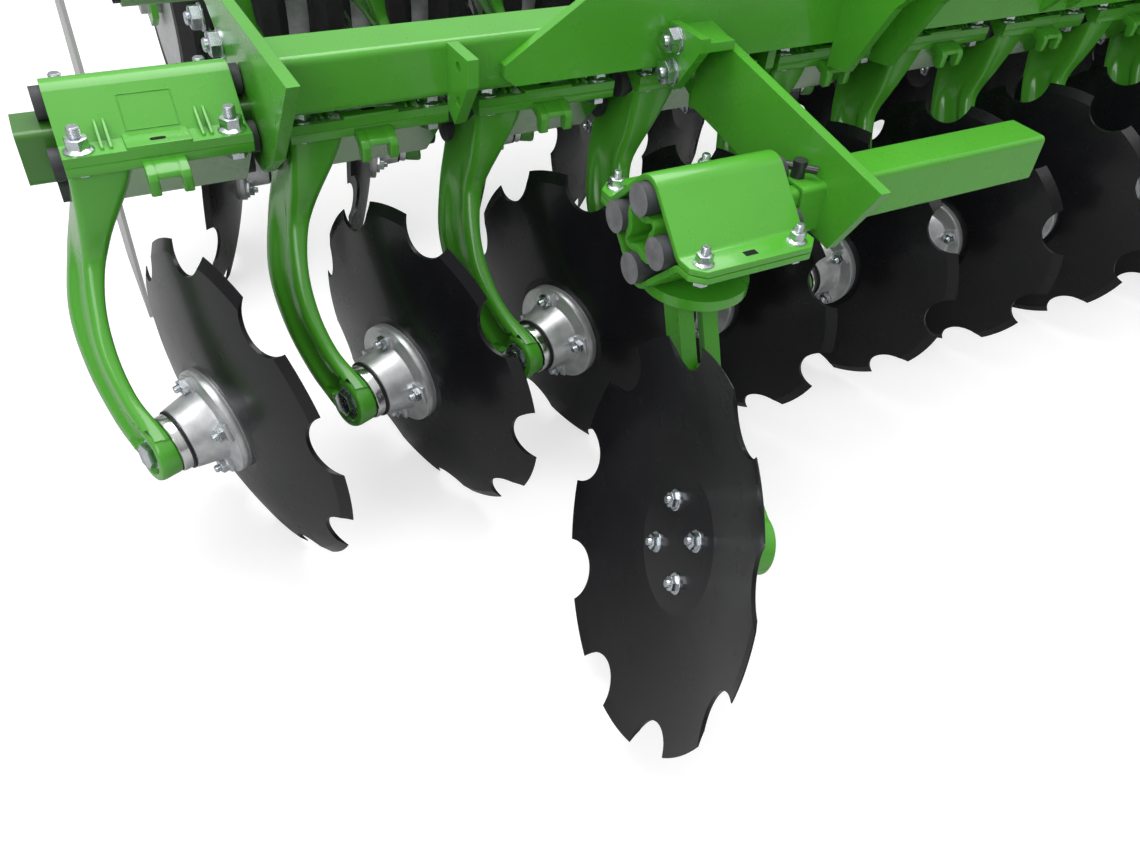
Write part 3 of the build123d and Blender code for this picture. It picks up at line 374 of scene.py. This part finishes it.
def oblong(length, width, count=16):
    """Outline of a slot, length along X."""
    reach = (length - width) / 2
    points = []
    for i in range(count + 1):
        angle = -pi / 2 + pi * i / count
        points.append((reach + width / 2 * cos(angle), width / 2 * sin(angle)))
    return points + [(-x, -y) for x, y in points]


def turned(shape, matrix):
    return [tuple(matrix @ Vector(v)) for v in shape[0]], shape[1]


def joined(*shapes):
    verts, faces = [], []
    for shape in shapes:
        start = len(verts)
        verts.extend(shape[0])
        faces.extend(tuple(start + i for i in face) for face in shape[1])
    return verts, faces


def hexagon(across):
    return [(across / sqrt(3) * cos(pi / 3 * i), across / sqrt(3) * sin(pi / 3 * i)) for i in range(6)]


def hex_head(across, low, high):
    """Hexagon with its top corners turned off."""
    corner, flat = across / sqrt(3), across / 2
    chamfer = (corner - flat) * 0.6
    outer = hexagon(across)
    inner = [(x * (flat - 0.0004) / corner, y * (flat - 0.0004) / corner) for x, y in outer]
    verts = []
    for ring, z in ((outer, low), (outer, high - chamfer), (inner, high)):
        verts += [(x, y, z) for x, y in ring]
    faces = []
    for i in range(6):
        j = (i + 1) % 6
        faces.append((i, j, 6 + j, 6 + i))
        faces.append((6 + i, 6 + j, 12 + j, 12 + i))
    faces.append(tuple(range(12, 18)))
    return verts, faces


def thread(radius, low, high, pitch=0.0018, count=12):
    """Stud end with thread ridges and a chamfer."""
    profile, z = [(radius, low)], low
    while z + pitch < high - pitch:
        profile.append((radius * 0.88, z + pitch * 0.5))
        profile.append((radius, z + pitch))
        z += pitch
    profile.append((radius * 0.8, high))
    profile.append((0, high))
    return lathe(profile, count)


def flange_nut(across, height, stud):
    """Flange nut on its stud, standing on Z = 0."""
    skirt = across * 0.5
    rim, top = skirt * 1.42, height * 0.3
    return joined(
        lathe([(rim, 0), (rim, height * 0.1), (skirt * 1.02, top), (0, top)], 18),
        hex_head(across, height * 0.2, height),
        thread(across * 0.33, height * 0.98, height + stud),
    )


def hex_bolt(across, height, washer):
    """Hexagon head on a washer, standing on Z = 0."""
    rim = across * 0.5 * 1.35
    return joined(
        lathe([(rim, 0), (rim, washer * 0.75), (rim * 0.96, washer), (0, washer)], 20),
        hex_head(across, washer, washer + height),
    )


def axis_matrix(point, normal, spin=0.0):
    """The CAD's plane at a point: Z along the normal, X level."""
    normal = Vector(normal).normalized()
    level = Vector((normal.y, -normal.x, 0)).normalized()
    third = normal.cross(level)
    base = Matrix((
        (level.x, third.x, normal.x, point[0]),
        (level.y, third.y, normal.y, point[1]),
        (level.z, third.z, normal.z, point[2]),
        (0, 0, 0, 1),
    ))
    return base @ Matrix.Rotation(spin, 4, "Z")


def upright(point, spin=0.0):
    return Matrix.Translation(point) @ Matrix.Rotation(spin, 4, "Z")


def facing(point, direction, spin=0.0):
    turn = Vector(direction).to_track_quat("Z", "Y").to_matrix().to_4x4()
    return Matrix.Translation(point) @ turn @ Matrix.Rotation(spin, 4, "Z")


def arc_at(points, t):
    """Point at t on the arc through three points."""
    (ax, ay), (bx, by), (cx, cy) = points
    d = 2 * (ax * (by - cy) + bx * (cy - ay) + cx * (ay - by))
    a2, b2, c2 = ax * ax + ay * ay, bx * bx + by * by, cx * cx + cy * cy
    ux = (a2 * (by - cy) + b2 * (cy - ay) + c2 * (ay - by)) / d
    uy = (a2 * (cx - bx) + b2 * (ax - cx) + c2 * (bx - ax)) / d
    radius = hypot(ax - ux, ay - uy)
    start, mid, end = (atan2(y - uy, x - ux) for x, y in points)
    turn = (end - start + pi) % (2 * pi) - pi
    part = (mid - start + pi) % (2 * pi) - pi
    if turn * part < 0:
        turn += 2 * pi if turn < 0 else -2 * pi
    angle = start + turn * t
    return ux + radius * cos(angle), uy + radius * sin(angle)


# Rows

def row_hand(row):
    """The far row is the near row mirrored across the machine."""
    return 1 if row == "near" else -1


def row_hooks(row):
    hand = row_hand(row)
    y = NEAR_Y if row == "near" else FAR_Y
    return [Vector((hand * (FIRST_X + PITCH * k), y, BEAM_Z)) for k in range(ROW_COUNT)]


def hook_matrix(row, hook):
    return Matrix.Translation(hook) @ (MIRROR if row == "far" else Matrix.Identity(4))


def row_axis(row):
    return Vector((row_hand(row) * cos(YAW) * cos(TILT), sin(YAW) * cos(TILT), sin(TILT)))


def row_eye(row, hook):
    return hook + Vector((row_hand(row) * EYE.x, EYE.y, EYE.z))


def axle_matrix(row, hook, phase=0.0):
    return axis_matrix(row_eye(row, hook), row_axis(row), radians(phase))


# Arm castings

ARM_FRONT = ((-0.054, -0.034), (-0.126, -0.181), (-0.250, -0.270))
ARM_REAR = ((0.024, -0.060), (-0.074, -0.216), (-0.2265, -0.3362))
WEB_TOP = (-0.090, 0.003)
WEB_FOOT = (-0.084, -0.118)

# Where the arm's four long edges lie across the machine, at even steps from the clamp to the eye
LEFT_REAR = (-0.104, -0.1295, -0.1497, -0.149, -0.1357, -0.1145)
LEFT_FRONT = (-0.103, -0.110, -0.1205, -0.1265, -0.118, -0.104)
RIGHT_FRONT = (-0.035, -0.079, -0.1015, -0.1075, -0.1005, -0.079)
RIGHT_REAR = (-0.033, -0.086, -0.1185, -0.1195, -0.103, -0.0805)

# The eye's face slants against the axle; heights are along the axle
EYE_SLANT = 0.15
EYE_RIM = -0.001
POCKET_FLOOR = 0.0065
EYE_RADIUS = 0.0358

# Half a turn round the arm's section: (place from rear -1 to front 1, inset from the edge line)
NOSE = ((1.03, 0.0090), (1.015, 0.0052), (0.965, 0.0020), (0.88, 0.0003), (0.74, 0.0), (0.57, 0.0003))
CHANNEL = (
    (0.48, 0.0022), (0.40, 0.0056), (0.29, 0.0070), (0.0, 0.0072),
    (-0.26, 0.0070), (-0.37, 0.0056), (-0.44, 0.0022),
)
HEEL = ((-0.53, 0.0003), (-0.70, 0.0), (-0.87, 0.0003), (-0.96, 0.0020), (-1.01, 0.0056), (-1.03, 0.0105))


def smooth_at(values, t):
    """Value at t on the smooth curve through evenly spaced values."""
    place = min(max(t, 0.0), 1.0) * (len(values) - 1)
    k = min(int(place), len(values) - 2)
    f = place - k
    before = values[max(k - 1, 0)]
    first, second = values[k], values[k + 1]
    after = values[min(k + 2, len(values) - 1)]
    bend = 2 * before - 5 * first + 4 * second - after
    swing = 3 * (first - second) + after - before
    return first + 0.5 * f * (second - before + f * (bend + f * swing))


def ease(value):
    value = min(1.0, max(0.0, value))
    return value * value * (3 - 2 * value)


def front_at(t):
    """Front edge: a nearly upright web under the flange that runs into the arm's curve."""
    part = min(1.0, t / 0.26)
    web = [top + (foot - top) * part for top, foot in zip(WEB_TOP, WEB_FOOT)]
    share = ease((t - 0.14) / 0.16)
    return [w + (c - w) * share for w, c in zip(web, arc_at(ARM_FRONT, t))]


def arm_section(t):
    """Points round the arm at t, from the middle of its front round the left face and back by the right."""
    fy, fz = front_at(t)
    ry, rz = arc_at(ARM_REAR, t)
    depth = ease((t - 0.14) / 0.16)
    left, right_side = [], []
    for v, inset in NOSE + CHANNEL + HEEL:
        share = min(1.0, max(0.0, (1 + v) / 2))
        y, z = ry + (fy - ry) * (1 + v) / 2, rz + (fz - rz) * (1 + v) / 2
        low = smooth_at(LEFT_REAR, t) * (1 - share) + smooth_at(LEFT_FRONT, t) * share
        high = smooth_at(RIGHT_REAR, t) * (1 - share) + smooth_at(RIGHT_FRONT, t) * share
        if abs(v) < 0.5:
            inset *= depth
        inset = min(inset, 0.44 * (high - low))
        left.append(Vector((low + inset, y, z)))
        right_side.append(Vector((high - inset * (0.6 if abs(v) < 0.5 else 1.0), y, z)))
    return left + right_side[::-1]


def arm_shape():
    """The curved arm lofted from its clamp into its eye."""
    steps = 34
    verts, faces = [], []
    eye = axis_matrix(EYE, row_axis("near"))
    into = eye.inverted()
    for i in range(steps + 1):
        section = arm_section(i / steps)
        for k, point in enumerate(section):
            point = into @ point
            away = hypot(point.x, point.y)
            if away < EYE_RADIUS - 0.001 and k < len(section) // 2:
                point.z = max(point.z, POCKET_FLOOR + 0.002 - EYE_SLANT * point.y)
            if away < 0.076:
                point.z = min(point.z, 0.0262)
            verts.append(tuple(eye @ point))
    count = len(section)
    for i in range(steps):
        for k in range(count):
            n = (k + 1) % count
            faces.append((i * count + k, i * count + n, (i + 1) * count + n, (i + 1) * count + k))
    faces.append(tuple(range(steps * count, steps * count + count)))
    return verts, faces


def trough_shape():
    """Lower clamp half: V trough with its flanges, rounded below."""
    radius = 0.024
    bottom = OUTER - radius * (sqrt(2) - 1)
    curve = []
    for i in range(9):
        angle = radians(-135 + 90 * i / 8)
        curve.append((radius * cos(angle), -bottom + radius + radius * sin(angle)))
    profile = [(-FLANGE_REACH, FLANGE_GAP), (-FLANGE_REACH, FLANGE_LOW)]
    profile.append((-(OUTER - FLANGE_LOW), FLANGE_LOW))
    profile += curve
    profile.append((OUTER - FLANGE_LOW, FLANGE_LOW))
    profile += [(FLANGE_REACH, FLANGE_LOW), (FLANGE_REACH, FLANGE_GAP)]
    profile += [(INNER - FLANGE_GAP, FLANGE_GAP), (INNER, 0.0)]
    small = radius - 0.006
    hollow = INNER - small * (sqrt(2) - 1)
    for i in range(9):
        angle = radians(-45 - 90 * i / 8)
        profile.append((small * cos(angle), -hollow + small + small * sin(angle)))
    profile += [(-INNER, 0.0), (-(INNER - FLANGE_GAP), FLANGE_GAP)]
    return across(profile, -HALF_CLAMP, HALF_CLAMP)


def hook_shape():
    """Two prongs under a sloped bridge at the middle of the lower flange."""
    prong = [
        (-0.092, 0.0115), (-0.106, 0.0110), (-0.1215, 0.0040), (-0.1255, -0.003), (-0.1245, -0.021),
        (-0.1190, -0.0235), (-0.1110, -0.0215), (-0.1085, -0.006), (-0.092, 0.001),
    ]
    bridge = [
        (-0.092, 0.0112), (-0.106, 0.0107), (-0.1205, 0.0040), (-0.1235, -0.0020), (-0.1120, -0.0030),
        (-0.092, 0.002),
    ]
    parts = []
    for outline, low, high in ((prong, -0.0240, -0.0125), (bridge, -0.0135, 0.0135), (prong, 0.0125, 0.0240)):
        parts.append(rounded(across(outline, low, high), 0.0016))
    return joined(*parts)


def eye_shape():
    """Eye of the arm: round boss with a slanted face and a pocket for the bolt, open to the arm's channel."""
    rim, floor_z = EYE_RIM, POCKET_FLOOR
    verts, faces = lathe([
        (0, floor_z), (0.0225, floor_z), (0.0238, floor_z - 0.0010), (0.0246, rim + 0.0016),
        (0.0262, rim), (0.0306, rim - 0.0002), (0.0336, rim + 0.0012), (0.0352, rim + 0.0040),
        (EYE_RADIUS, rim + 0.0080), (EYE_RADIUS, 0.0205), (0.0352, 0.0240), (0.0332, 0.0260), (0, 0.0260),
    ], 48)
    shaped = []
    for x, y, z in verts:
        if z < 0.010:
            turn = (atan2(y, x) - radians(209) + pi) % (2 * pi) - pi
            if abs(turn) < radians(31) and hypot(x, y) > 0.0235:
                z = max(z, floor_z + 0.0006)
            z -= EYE_SLANT * y
        shaped.append((x, y, z))
    return shaped, faces


eye_matrix = axis_matrix(EYE, row_axis("near"))
slant = Matrix.Rotation(-atan2(EYE_SLANT, 1), 4, "X")
bolt_seat = eye_matrix @ slant @ Matrix.Translation((0, 0, POCKET_FLOOR))
casting_shapes = (
    (arm_shape(), CASTING, None),
    (rounded(trough_shape(), 0.0012, 2, 40), CASTING, None),
    (hook_shape(), CASTING, None),
    (eye_shape(), CASTING, eye_matrix),
    (hex_bolt(0.030, 0.0105, 0.0030), ZINC, bolt_seat @ HALF_TURN),
)
for row, node in (("near", "near_arms"), ("far", "far_arms")):
    pile = Pile()
    for hook in row_hooks(row):
        pile.add_set(casting_shapes, hook_matrix(row, hook), flip=row == "far")
    piece = place(row + "_arm_castings", pile.mesh(row + "_arm_castings", 32), "frame", slot="green_paint")
    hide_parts(node)


# Clamp dressing

def clamp_dress():
    """Nuts and bolt heads, ribs and raised middle of the flange of one upper clamp half."""
    shapes = []
    nut = flange_nut(0.0235, 0.0165, 0.0125)
    head = hex_bolt(0.0235, 0.009, 0.002)
    for x in (-0.084, 0.084):
        for y in (-0.079, 0.079):
            shapes.append((nut, ZINC, upright((x, y, FLANGE_TOP), 0.3 + x * 9)))
            shapes.append((head, ZINC, Matrix.Translation((x, y, FLANGE_LOW)) @ HALF_TURN))
    rib = [
        (0.0870, 0.0235), (0.0855, 0.0275), (0.0500, 0.0425),
        (0.0445, 0.0440), (0.0440, 0.0410), (0.0600, 0.0235),
    ]
    lift = [(0.0968, 0.0152), (0.0968, 0.0288), (0.0590, 0.0288), (0.0590, 0.0235), (0.0900, 0.0200)]
    for side in (-1, 1):
        for x in (-0.060, -0.0505, 0.0505, 0.060):
            shapes.append((rounded(across(sided(rib, side), x - 0.0019, x + 0.0019), 0.001), GREEN, None))
        shapes.append((rounded(across(sided(lift, side), -0.036, 0.036), 0.0014), GREEN, None))
        # The slot is a flat near-black patch on the flange: painted shadow, not a cut
        slot = prism(oblong(0.018, 0.007), 0, 0.0004)
        shapes.append((slot, SLOT_SHADOW, Matrix.Translation((0, side * 0.0835, 0.0287))))
    return shapes


def clamp_panel():
    """Thin raised frame on the sloping face, left blank."""
    face = Matrix.Translation((0, -0.0400, 0.0471)) @ Matrix.Rotation(radians(45), 4, "X")
    half, low, high, width = 0.030, -0.024, 0.020, 0.0012
    bars = []
    for x0, y0, x1, y1 in (
        (-half, low, half, low + width), (-half, high - width, half, high),
        (-half, low + width, width - half, high - width), (half - width, low + width, half, high - width),
    ):
        bars.append(prism([(x0, y0), (x1, y0), (x1, y1), (x0, y1)], -0.002, 0.0007))
    return turned(joined(*bars), face)


dress = clamp_dress()
panel = clamp_panel()
pile = Pile()
for row in ROWS:
    for hook in row_hooks(row):
        matrix = hook_matrix(row, hook)
        pile.add_set(dress, matrix, flip=row == "far")
        pile.add(panel, GREEN, matrix, flip=row == "far")
place("clamp_hardware", pile.mesh("clamp_hardware", 32), "frame", slot="green_paint")


# Hubs and discs

def hub_shapes():
    """Hub casting along the axle with its lugs, nuts and the blade's bolts."""
    barrel = lathe([
        (0.0398, 0.0413), (0.0412, 0.0421), (0.0418, 0.0440), (0.0452, 0.0600), (0.0490, 0.0765),
        (0.0506, 0.0806), (0.0540, 0.0826), (0.0690, 0.0830), (0.0712, 0.0838), (0.0722, 0.0855),
        (0.0724, 0.0930), (0.0718, 0.0950), (0.0700, 0.0958), (0, 0.0958),
    ], 48)
    shapes = [(barrel, HUB, None)]
    lug_outline = [
        (-0.0125, -0.0105), (0.0125, -0.0105), (0.0125, 0.0085),
        (0.0085, 0.0120), (-0.0085, 0.0120), (-0.0125, 0.0085),
    ]
    lug = rounded(prism(lug_outline, 0, 0.006), 0.0012)
    nut = joined(hex_head(0.0170, 0, 0.0085), thread(0.0052, 0.0082, 0.0150, 0.0014, 10))
    head = joined(
        lathe([(0.0128, 0), (0.0128, 0.0018), (0.0120, 0.0026), (0, 0.0026)], 18),
        hex_head(0.0165, 0.002, 0.0095),
        thread(0.0055, 0.0093, 0.0135, 0.0014, 10),
    )
    for i in range(4):
        angle = pi / 2 * i + pi / 4
        seat = Matrix.Rotation(angle, 4, "Z") @ Matrix.Translation((0, 0.0585, 0))
        shapes.append((lug, HUB, seat @ Matrix.Translation((0, 0, 0.0830)) @ HALF_TURN))
        shapes.append((nut, ZINC, seat @ Matrix.Translation((0, 0, 0.0772)) @ HALF_TURN))
        bolt = Matrix.Rotation(angle, 4, "Z") @ Matrix.Translation((0, 0.0470, 0.1010))
        shapes.append((head, ZINC, bolt))
    return shapes


hub_pile = Pile()
for shape, material, extra in hub_shapes():
    hub_pile.add(shape, material, extra)
hub_mesh = hub_pile.mesh("hub", 35)

spindle_pile = Pile()
collar = lathe([
    (0.0360, 0.0255), (0.0374, 0.0263), (0.0380, 0.0280), (0.0380, 0.0372), (0.0370, 0.0382), (0, 0.0382),
], 48)
seal_ring = lathe([
    (0.0360, 0.0376), (0.0400, 0.0379), (0.0406, 0.0384), (0.0406, 0.0406), (0.0396, 0.0411), (0, 0.0411),
], 48)
for row in ROWS:
    for hook in row_hooks(row):
        matrix = axle_matrix(row, hook)
        spindle_pile.add(collar, STEEL, matrix)
        spindle_pile.add(seal_ring, SEAL, matrix)
place("collars_and_seals", spindle_pile.mesh("collars_and_seals", 35), "frame", slot="bright_steel")

for row in ROWS:
    for k, hook in enumerate(row_hooks(row)):
        name = row + "_disc_" + str(k + 1).zfill(2)
        place(name + "_hub", hub_mesh, name, axle_matrix(row, hook, PHASES[k]), "silver_drum")

edge_axis = Vector((-cos(EDGE_YAW) * cos(EDGE_TILT), sin(EDGE_YAW) * cos(EDGE_TILT), sin(EDGE_TILT)))
edge_eye = EDGE_DISC - edge_axis * EDGE_EYE_TO_DISC
edge_mounts = {}
for side, hand in SIDES:
    flip = Vector((-hand, 1, 1))
    edge_mounts[side] = (edge_eye * flip, edge_axis * flip)
    eye, axis = edge_mounts[side]
    disc = "edge_disc_" + side
    place(disc + "_hub", hub_mesh, disc, axis_matrix(eye, axis, radians(EDGE_PHASE)), "silver_drum")
    pile = Pile()
    pile.add(collar, STEEL, axis_matrix(eye, axis))
    pile.add(seal_ring, SEAL, axis_matrix(eye, axis))
    pile.add(hex_bolt(0.024, 0.0095, 0.003), ZINC, axis_matrix(eye + axis * 0.002, -axis))
    place("edge_collar_" + side, pile.mesh("edge_collar_" + side), "edge_" + side, slot="bright_steel")


# Edge clamps

def stations(path, bends, steps=7):
    """Points and normals along the middle of a bent sheet, with an arc at each inner point of the path."""
    line = [Vector(point) for point in path]
    result = [(line[0], Vector((0, 1)))]
    for k in range(1, len(line) - 1):
        before = (line[k] - line[k - 1]).normalized()
        after = (line[k + 1] - line[k]).normalized()
        turn = atan2(before.x * after.y - before.y * after.x, before.dot(after))
        left = Vector((-before.y, before.x))
        radius = bends[k - 1]
        if abs(turn) < 1e-6:
            result.append((line[k], left))
            continue
        side = 1 if turn > 0 else -1
        centre = line[k] - before * radius * tan(abs(turn) / 2) + left * side * radius
        for i in range(steps + 1):
            a = turn * i / steps
            normal = Vector((left.x * cos(a) - left.y * sin(a), left.x * sin(a) + left.y * cos(a)))
            result.append((centre - normal * side * radius, normal))
    result.append((line[-1], Vector((0, 1))))
    return result


def edge_shell():
    """Upper half of the edge clamp about its own middle: bent sheet with trimmed flange corners."""
    reach, trim = 0.112, 0.015
    level = EDGE_WALL / 2 + 0.0005
    fold = EDGE_MIDDLE - level
    half = (EDGE_CLAMP[1] - EDGE_CLAMP[0]) / 2
    path = [(-reach, level), (trim - reach, level), (-fold, level), (0, EDGE_MIDDLE)]
    path += [(fold, level), (reach - trim, level), (reach, level)]
    line = stations(path, (0, 0.014, 0.023, 0.014, 0))
    verts, faces = [], []
    for point, normal in line:
        end = half - max(0.0, abs(point.x) - (reach - trim))
        skins = (point + normal * EDGE_WALL / 2, point - normal * EDGE_WALL / 2)
        verts += [(x, skin.x, skin.y) for x in (-end, end) for skin in skins]
    last = 4 * len(line) - 4
    for i in range(0, last, 4):
        faces += [(i, i + 2, i + 6, i + 4), (i + 1, i + 5, i + 7, i + 3)]
        faces += [(i, i + 4, i + 5, i + 1), (i + 2, i + 3, i + 7, i + 6)]
    faces += [(1, 3, 2, 0), (last, last + 2, last + 3, last + 1)]
    return rounded((verts, faces), 0.0012, 2, 40)


shell = edge_shell()
edge_nut = flange_nut(0.0175, 0.0130, 0.0090)
edge_head = hex_bolt(0.0165, 0.008, 0.002)
# Flat near-black patch on the flange: painted shadow in place of a cut slot
edge_slot_shadow = prism([(-0.0085, -0.0045), (0.0085, -0.0045), (0.0085, 0.0045), (-0.0085, 0.0045)], 0, 0.0003)
clamp_at = Matrix.Translation(((EDGE_CLAMP[0] + EDGE_CLAMP[1]) / 2, EDGE_Y, EDGE_Z))
outer_face = EDGE_WALL + 0.0005
for side, hand in SIDES:
    base = (MIRROR if hand > 0 else Matrix.Identity(4)) @ clamp_at
    flip = hand > 0
    pile = Pile()
    pile.add(shell, GREEN, base, flip)
    pile.add(shell, GREEN, base @ Matrix.Scale(-1, 4, (0, 0, 1)), not flip)
    for x in (-0.068, 0.064):
        for y in (-0.094, 0.096):
            pile.add(edge_nut, ZINC, base @ upright((x, y, outer_face), x * 9), flip)
            pile.add(edge_head, ZINC, base @ Matrix.Translation((x, y, -outer_face)) @ HALF_TURN, flip)
    pile.add(edge_slot_shadow, SLOT_SHADOW, base @ Matrix.Translation((-0.004, -0.0955, outer_face + 0.0001)), flip)
    name = "edge_clamp_shells_" + side
    piece = place(name, pile.mesh(name, 32), "edge_" + side, slot="green_paint")
    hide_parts("edge_clamp_" + side)


# Frame bolts

pile = Pile()
nut_20 = joined(
    lathe([(0.0190, 0), (0.0190, 0.0025), (0.0180, 0.0032), (0, 0.0032)], 20),
    hex_head(0.030, 0.003, 0.017),
    thread(0.0095, 0.0165, 0.0230),
)
for side, hand in SIDES:
    for y, z in ((-0.526, 0.618), (-0.526, 0.576)):
        pile.add(nut_20, ZINC, facing((hand * BRACKET_OUTSIDE, y, z), (hand, 0, 0), 0.4))
for y, z in ((-0.168, 0.583), (-0.280, 0.586)):
    pile.add(nut_20, ZINC, facing((-SIDE_PLATE_OUTSIDE, y, z), (-1, 0, 0), 0.2))
place("frame_bolts", pile.mesh("frame_bolts"), "frame", slot="bright_steel")


# Materials of the CAD nodes

def dress_node(name, material, second=None, is_second=None):
    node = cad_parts[name]
    node.data.materials.clear()
    node.data.materials.append(material)
    if second is not None:
        node.data.materials.append(second)
        for polygon in node.data.polygons:
            polygon.material_index = 1 if is_second(polygon) else 0


NODE_PAINT = {
    "rubber_rods": ROD,
    # The beams take the darker copy of the green: painted shade
    "disc_beams": BEAM_SHADED_GREEN,
    "spindles": STEEL,
    "roller_rings": RING,
    "roller_drum": DRUM,
    "side_deflector": GREY,
    "edge_pins": DARK,
}
# Along a disc's axle, its hub ends here and its blade begins
BLADE_START = 0.0955

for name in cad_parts:
    if name.startswith("edge_rubber_rods"):
        # The rods' end faces take the lighter grey: partly their own tone, partly painted sheen
        dress_node(name, ROD, ROD_END_TONE_AND_SHEEN, lambda face: abs(face.normal.x) > 0.9)
    elif "_disc_" not in name:
        dress_node(name, NODE_PAINT.get(name, GREEN))

places = {}
for row in ROWS:
    for k, hook in enumerate(row_hooks(row)):
        places[row + "_disc_" + str(k + 1).zfill(2)] = axle_matrix(row, hook).inverted()
for side, (eye, axis) in edge_mounts.items():
    places["edge_disc_" + side] = axis_matrix(eye, axis).inverted()
for name, into in places.items():
    dress_node(name, BLADE, HUB, lambda face: (into @ face.center).z < BLADE_START)


# Floor, world and light

FLOOR_REACH = 40
FLOOR_GREY = 0.50
FLOOR_GLOW = 0.66
SKY_LOW = 0.22
SKY_HIGH = 0.85


def cleared(owner):
    """The node tree of a material or world, emptied."""
    owner.use_nodes = True
    owner.node_tree.nodes.clear()
    return owner.node_tree


floor_mesh = bpy.data.meshes.new("floor")
corners = [(x * FLOOR_REACH, y * FLOOR_REACH, 0) for x, y in ((-1, -1), (1, -1), (1, 1), (-1, 1))]
floor_mesh.from_pydata(corners, [], [(0, 1, 2, 3)])
floor = bpy.data.objects.new("floor", floor_mesh)
bpy.context.scene.collection.objects.link(floor)
ground = bpy.data.materials.new("floor_paper")
tree = cleared(ground)
out = tree.nodes.new("ShaderNodeOutputMaterial")
matt = tree.nodes.new("ShaderNodeBsdfDiffuse")
matt.inputs["Color"].default_value = (FLOOR_GREY, FLOOR_GREY, FLOOR_GREY, 1)
glow = tree.nodes.new("ShaderNodeEmission")
path = tree.nodes.new("ShaderNodeLightPath")
scale = tree.nodes.new("ShaderNodeMath")
scale.operation = "MULTIPLY"
scale.inputs[1].default_value = FLOOR_GLOW
both = tree.nodes.new("ShaderNodeAddShader")
tree.links.new(path.outputs["Is Camera Ray"], scale.inputs[0])
tree.links.new(scale.outputs[0], glow.inputs["Strength"])
tree.links.new(matt.outputs[0], both.inputs[0])
tree.links.new(glow.outputs[0], both.inputs[1])
tree.links.new(both.outputs[0], out.inputs["Surface"])
floor_mesh.materials.append(ground)

world = bpy.data.worlds.new("studio")
bpy.context.scene.world = world
tree = cleared(world)
out = tree.nodes.new("ShaderNodeOutputWorld")
back = tree.nodes.new("ShaderNodeBackground")
path = tree.nodes.new("ShaderNodeLightPath")
toward = tree.nodes.new("ShaderNodeTexCoord")
split = tree.nodes.new("ShaderNodeSeparateXYZ")
tree.links.new(toward.outputs["Generated"], split.inputs[0])
sky = tree.nodes.new("ShaderNodeMapRange")
for key, value in (("From Min", 0.0), ("From Max", 0.9), ("To Min", SKY_LOW), ("To Max", SKY_HIGH)):
    sky.inputs[key].default_value = value
tree.links.new(split.outputs[2], sky.inputs["Value"])
level_of = tree.nodes.new("ShaderNodeMix")
level_of.inputs["B"].default_value = 1.0
tree.links.new(path.outputs["Is Camera Ray"], level_of.inputs["Factor"])
tree.links.new(sky.outputs[0], level_of.inputs["A"])
tree.links.new(level_of.outputs[0], back.inputs["Strength"])
back.inputs["Color"].default_value = (1, 1, 1, 1)
tree.links.new(back.outputs[0], out.inputs["Surface"])


def area_light(name, place_at, aim, size, power):
    data = bpy.data.lights.new(name, "AREA")
    data.shape = "RECTANGLE"
    data.size, data.size_y = size
    data.energy = power
    made = bpy.data.objects.new(name, data)
    bpy.context.scene.collection.objects.link(made)
    made.location = place_at
    made.rotation_mode = "QUATERNION"
    made.rotation_quaternion = (Vector(aim) - Vector(place_at)).to_track_quat("-Z", "Y")
    return made


area_light("overhead", (-0.8, 0.6, 4.2), (-0.4, 0.0, 0.3), (4.5, 3.0), 150)
area_light("front_left", (-4.2, -3.4, 2.8), (-0.6, -0.4, 0.4), (2.4, 2.4), 60)
area_light("back_right", (3.8, 3.4, 3.2), (0.2, 0.2, 0.4), (3.0, 2.0), 50)
bpy.context.scene.view_settings.view_transform = "Standard"
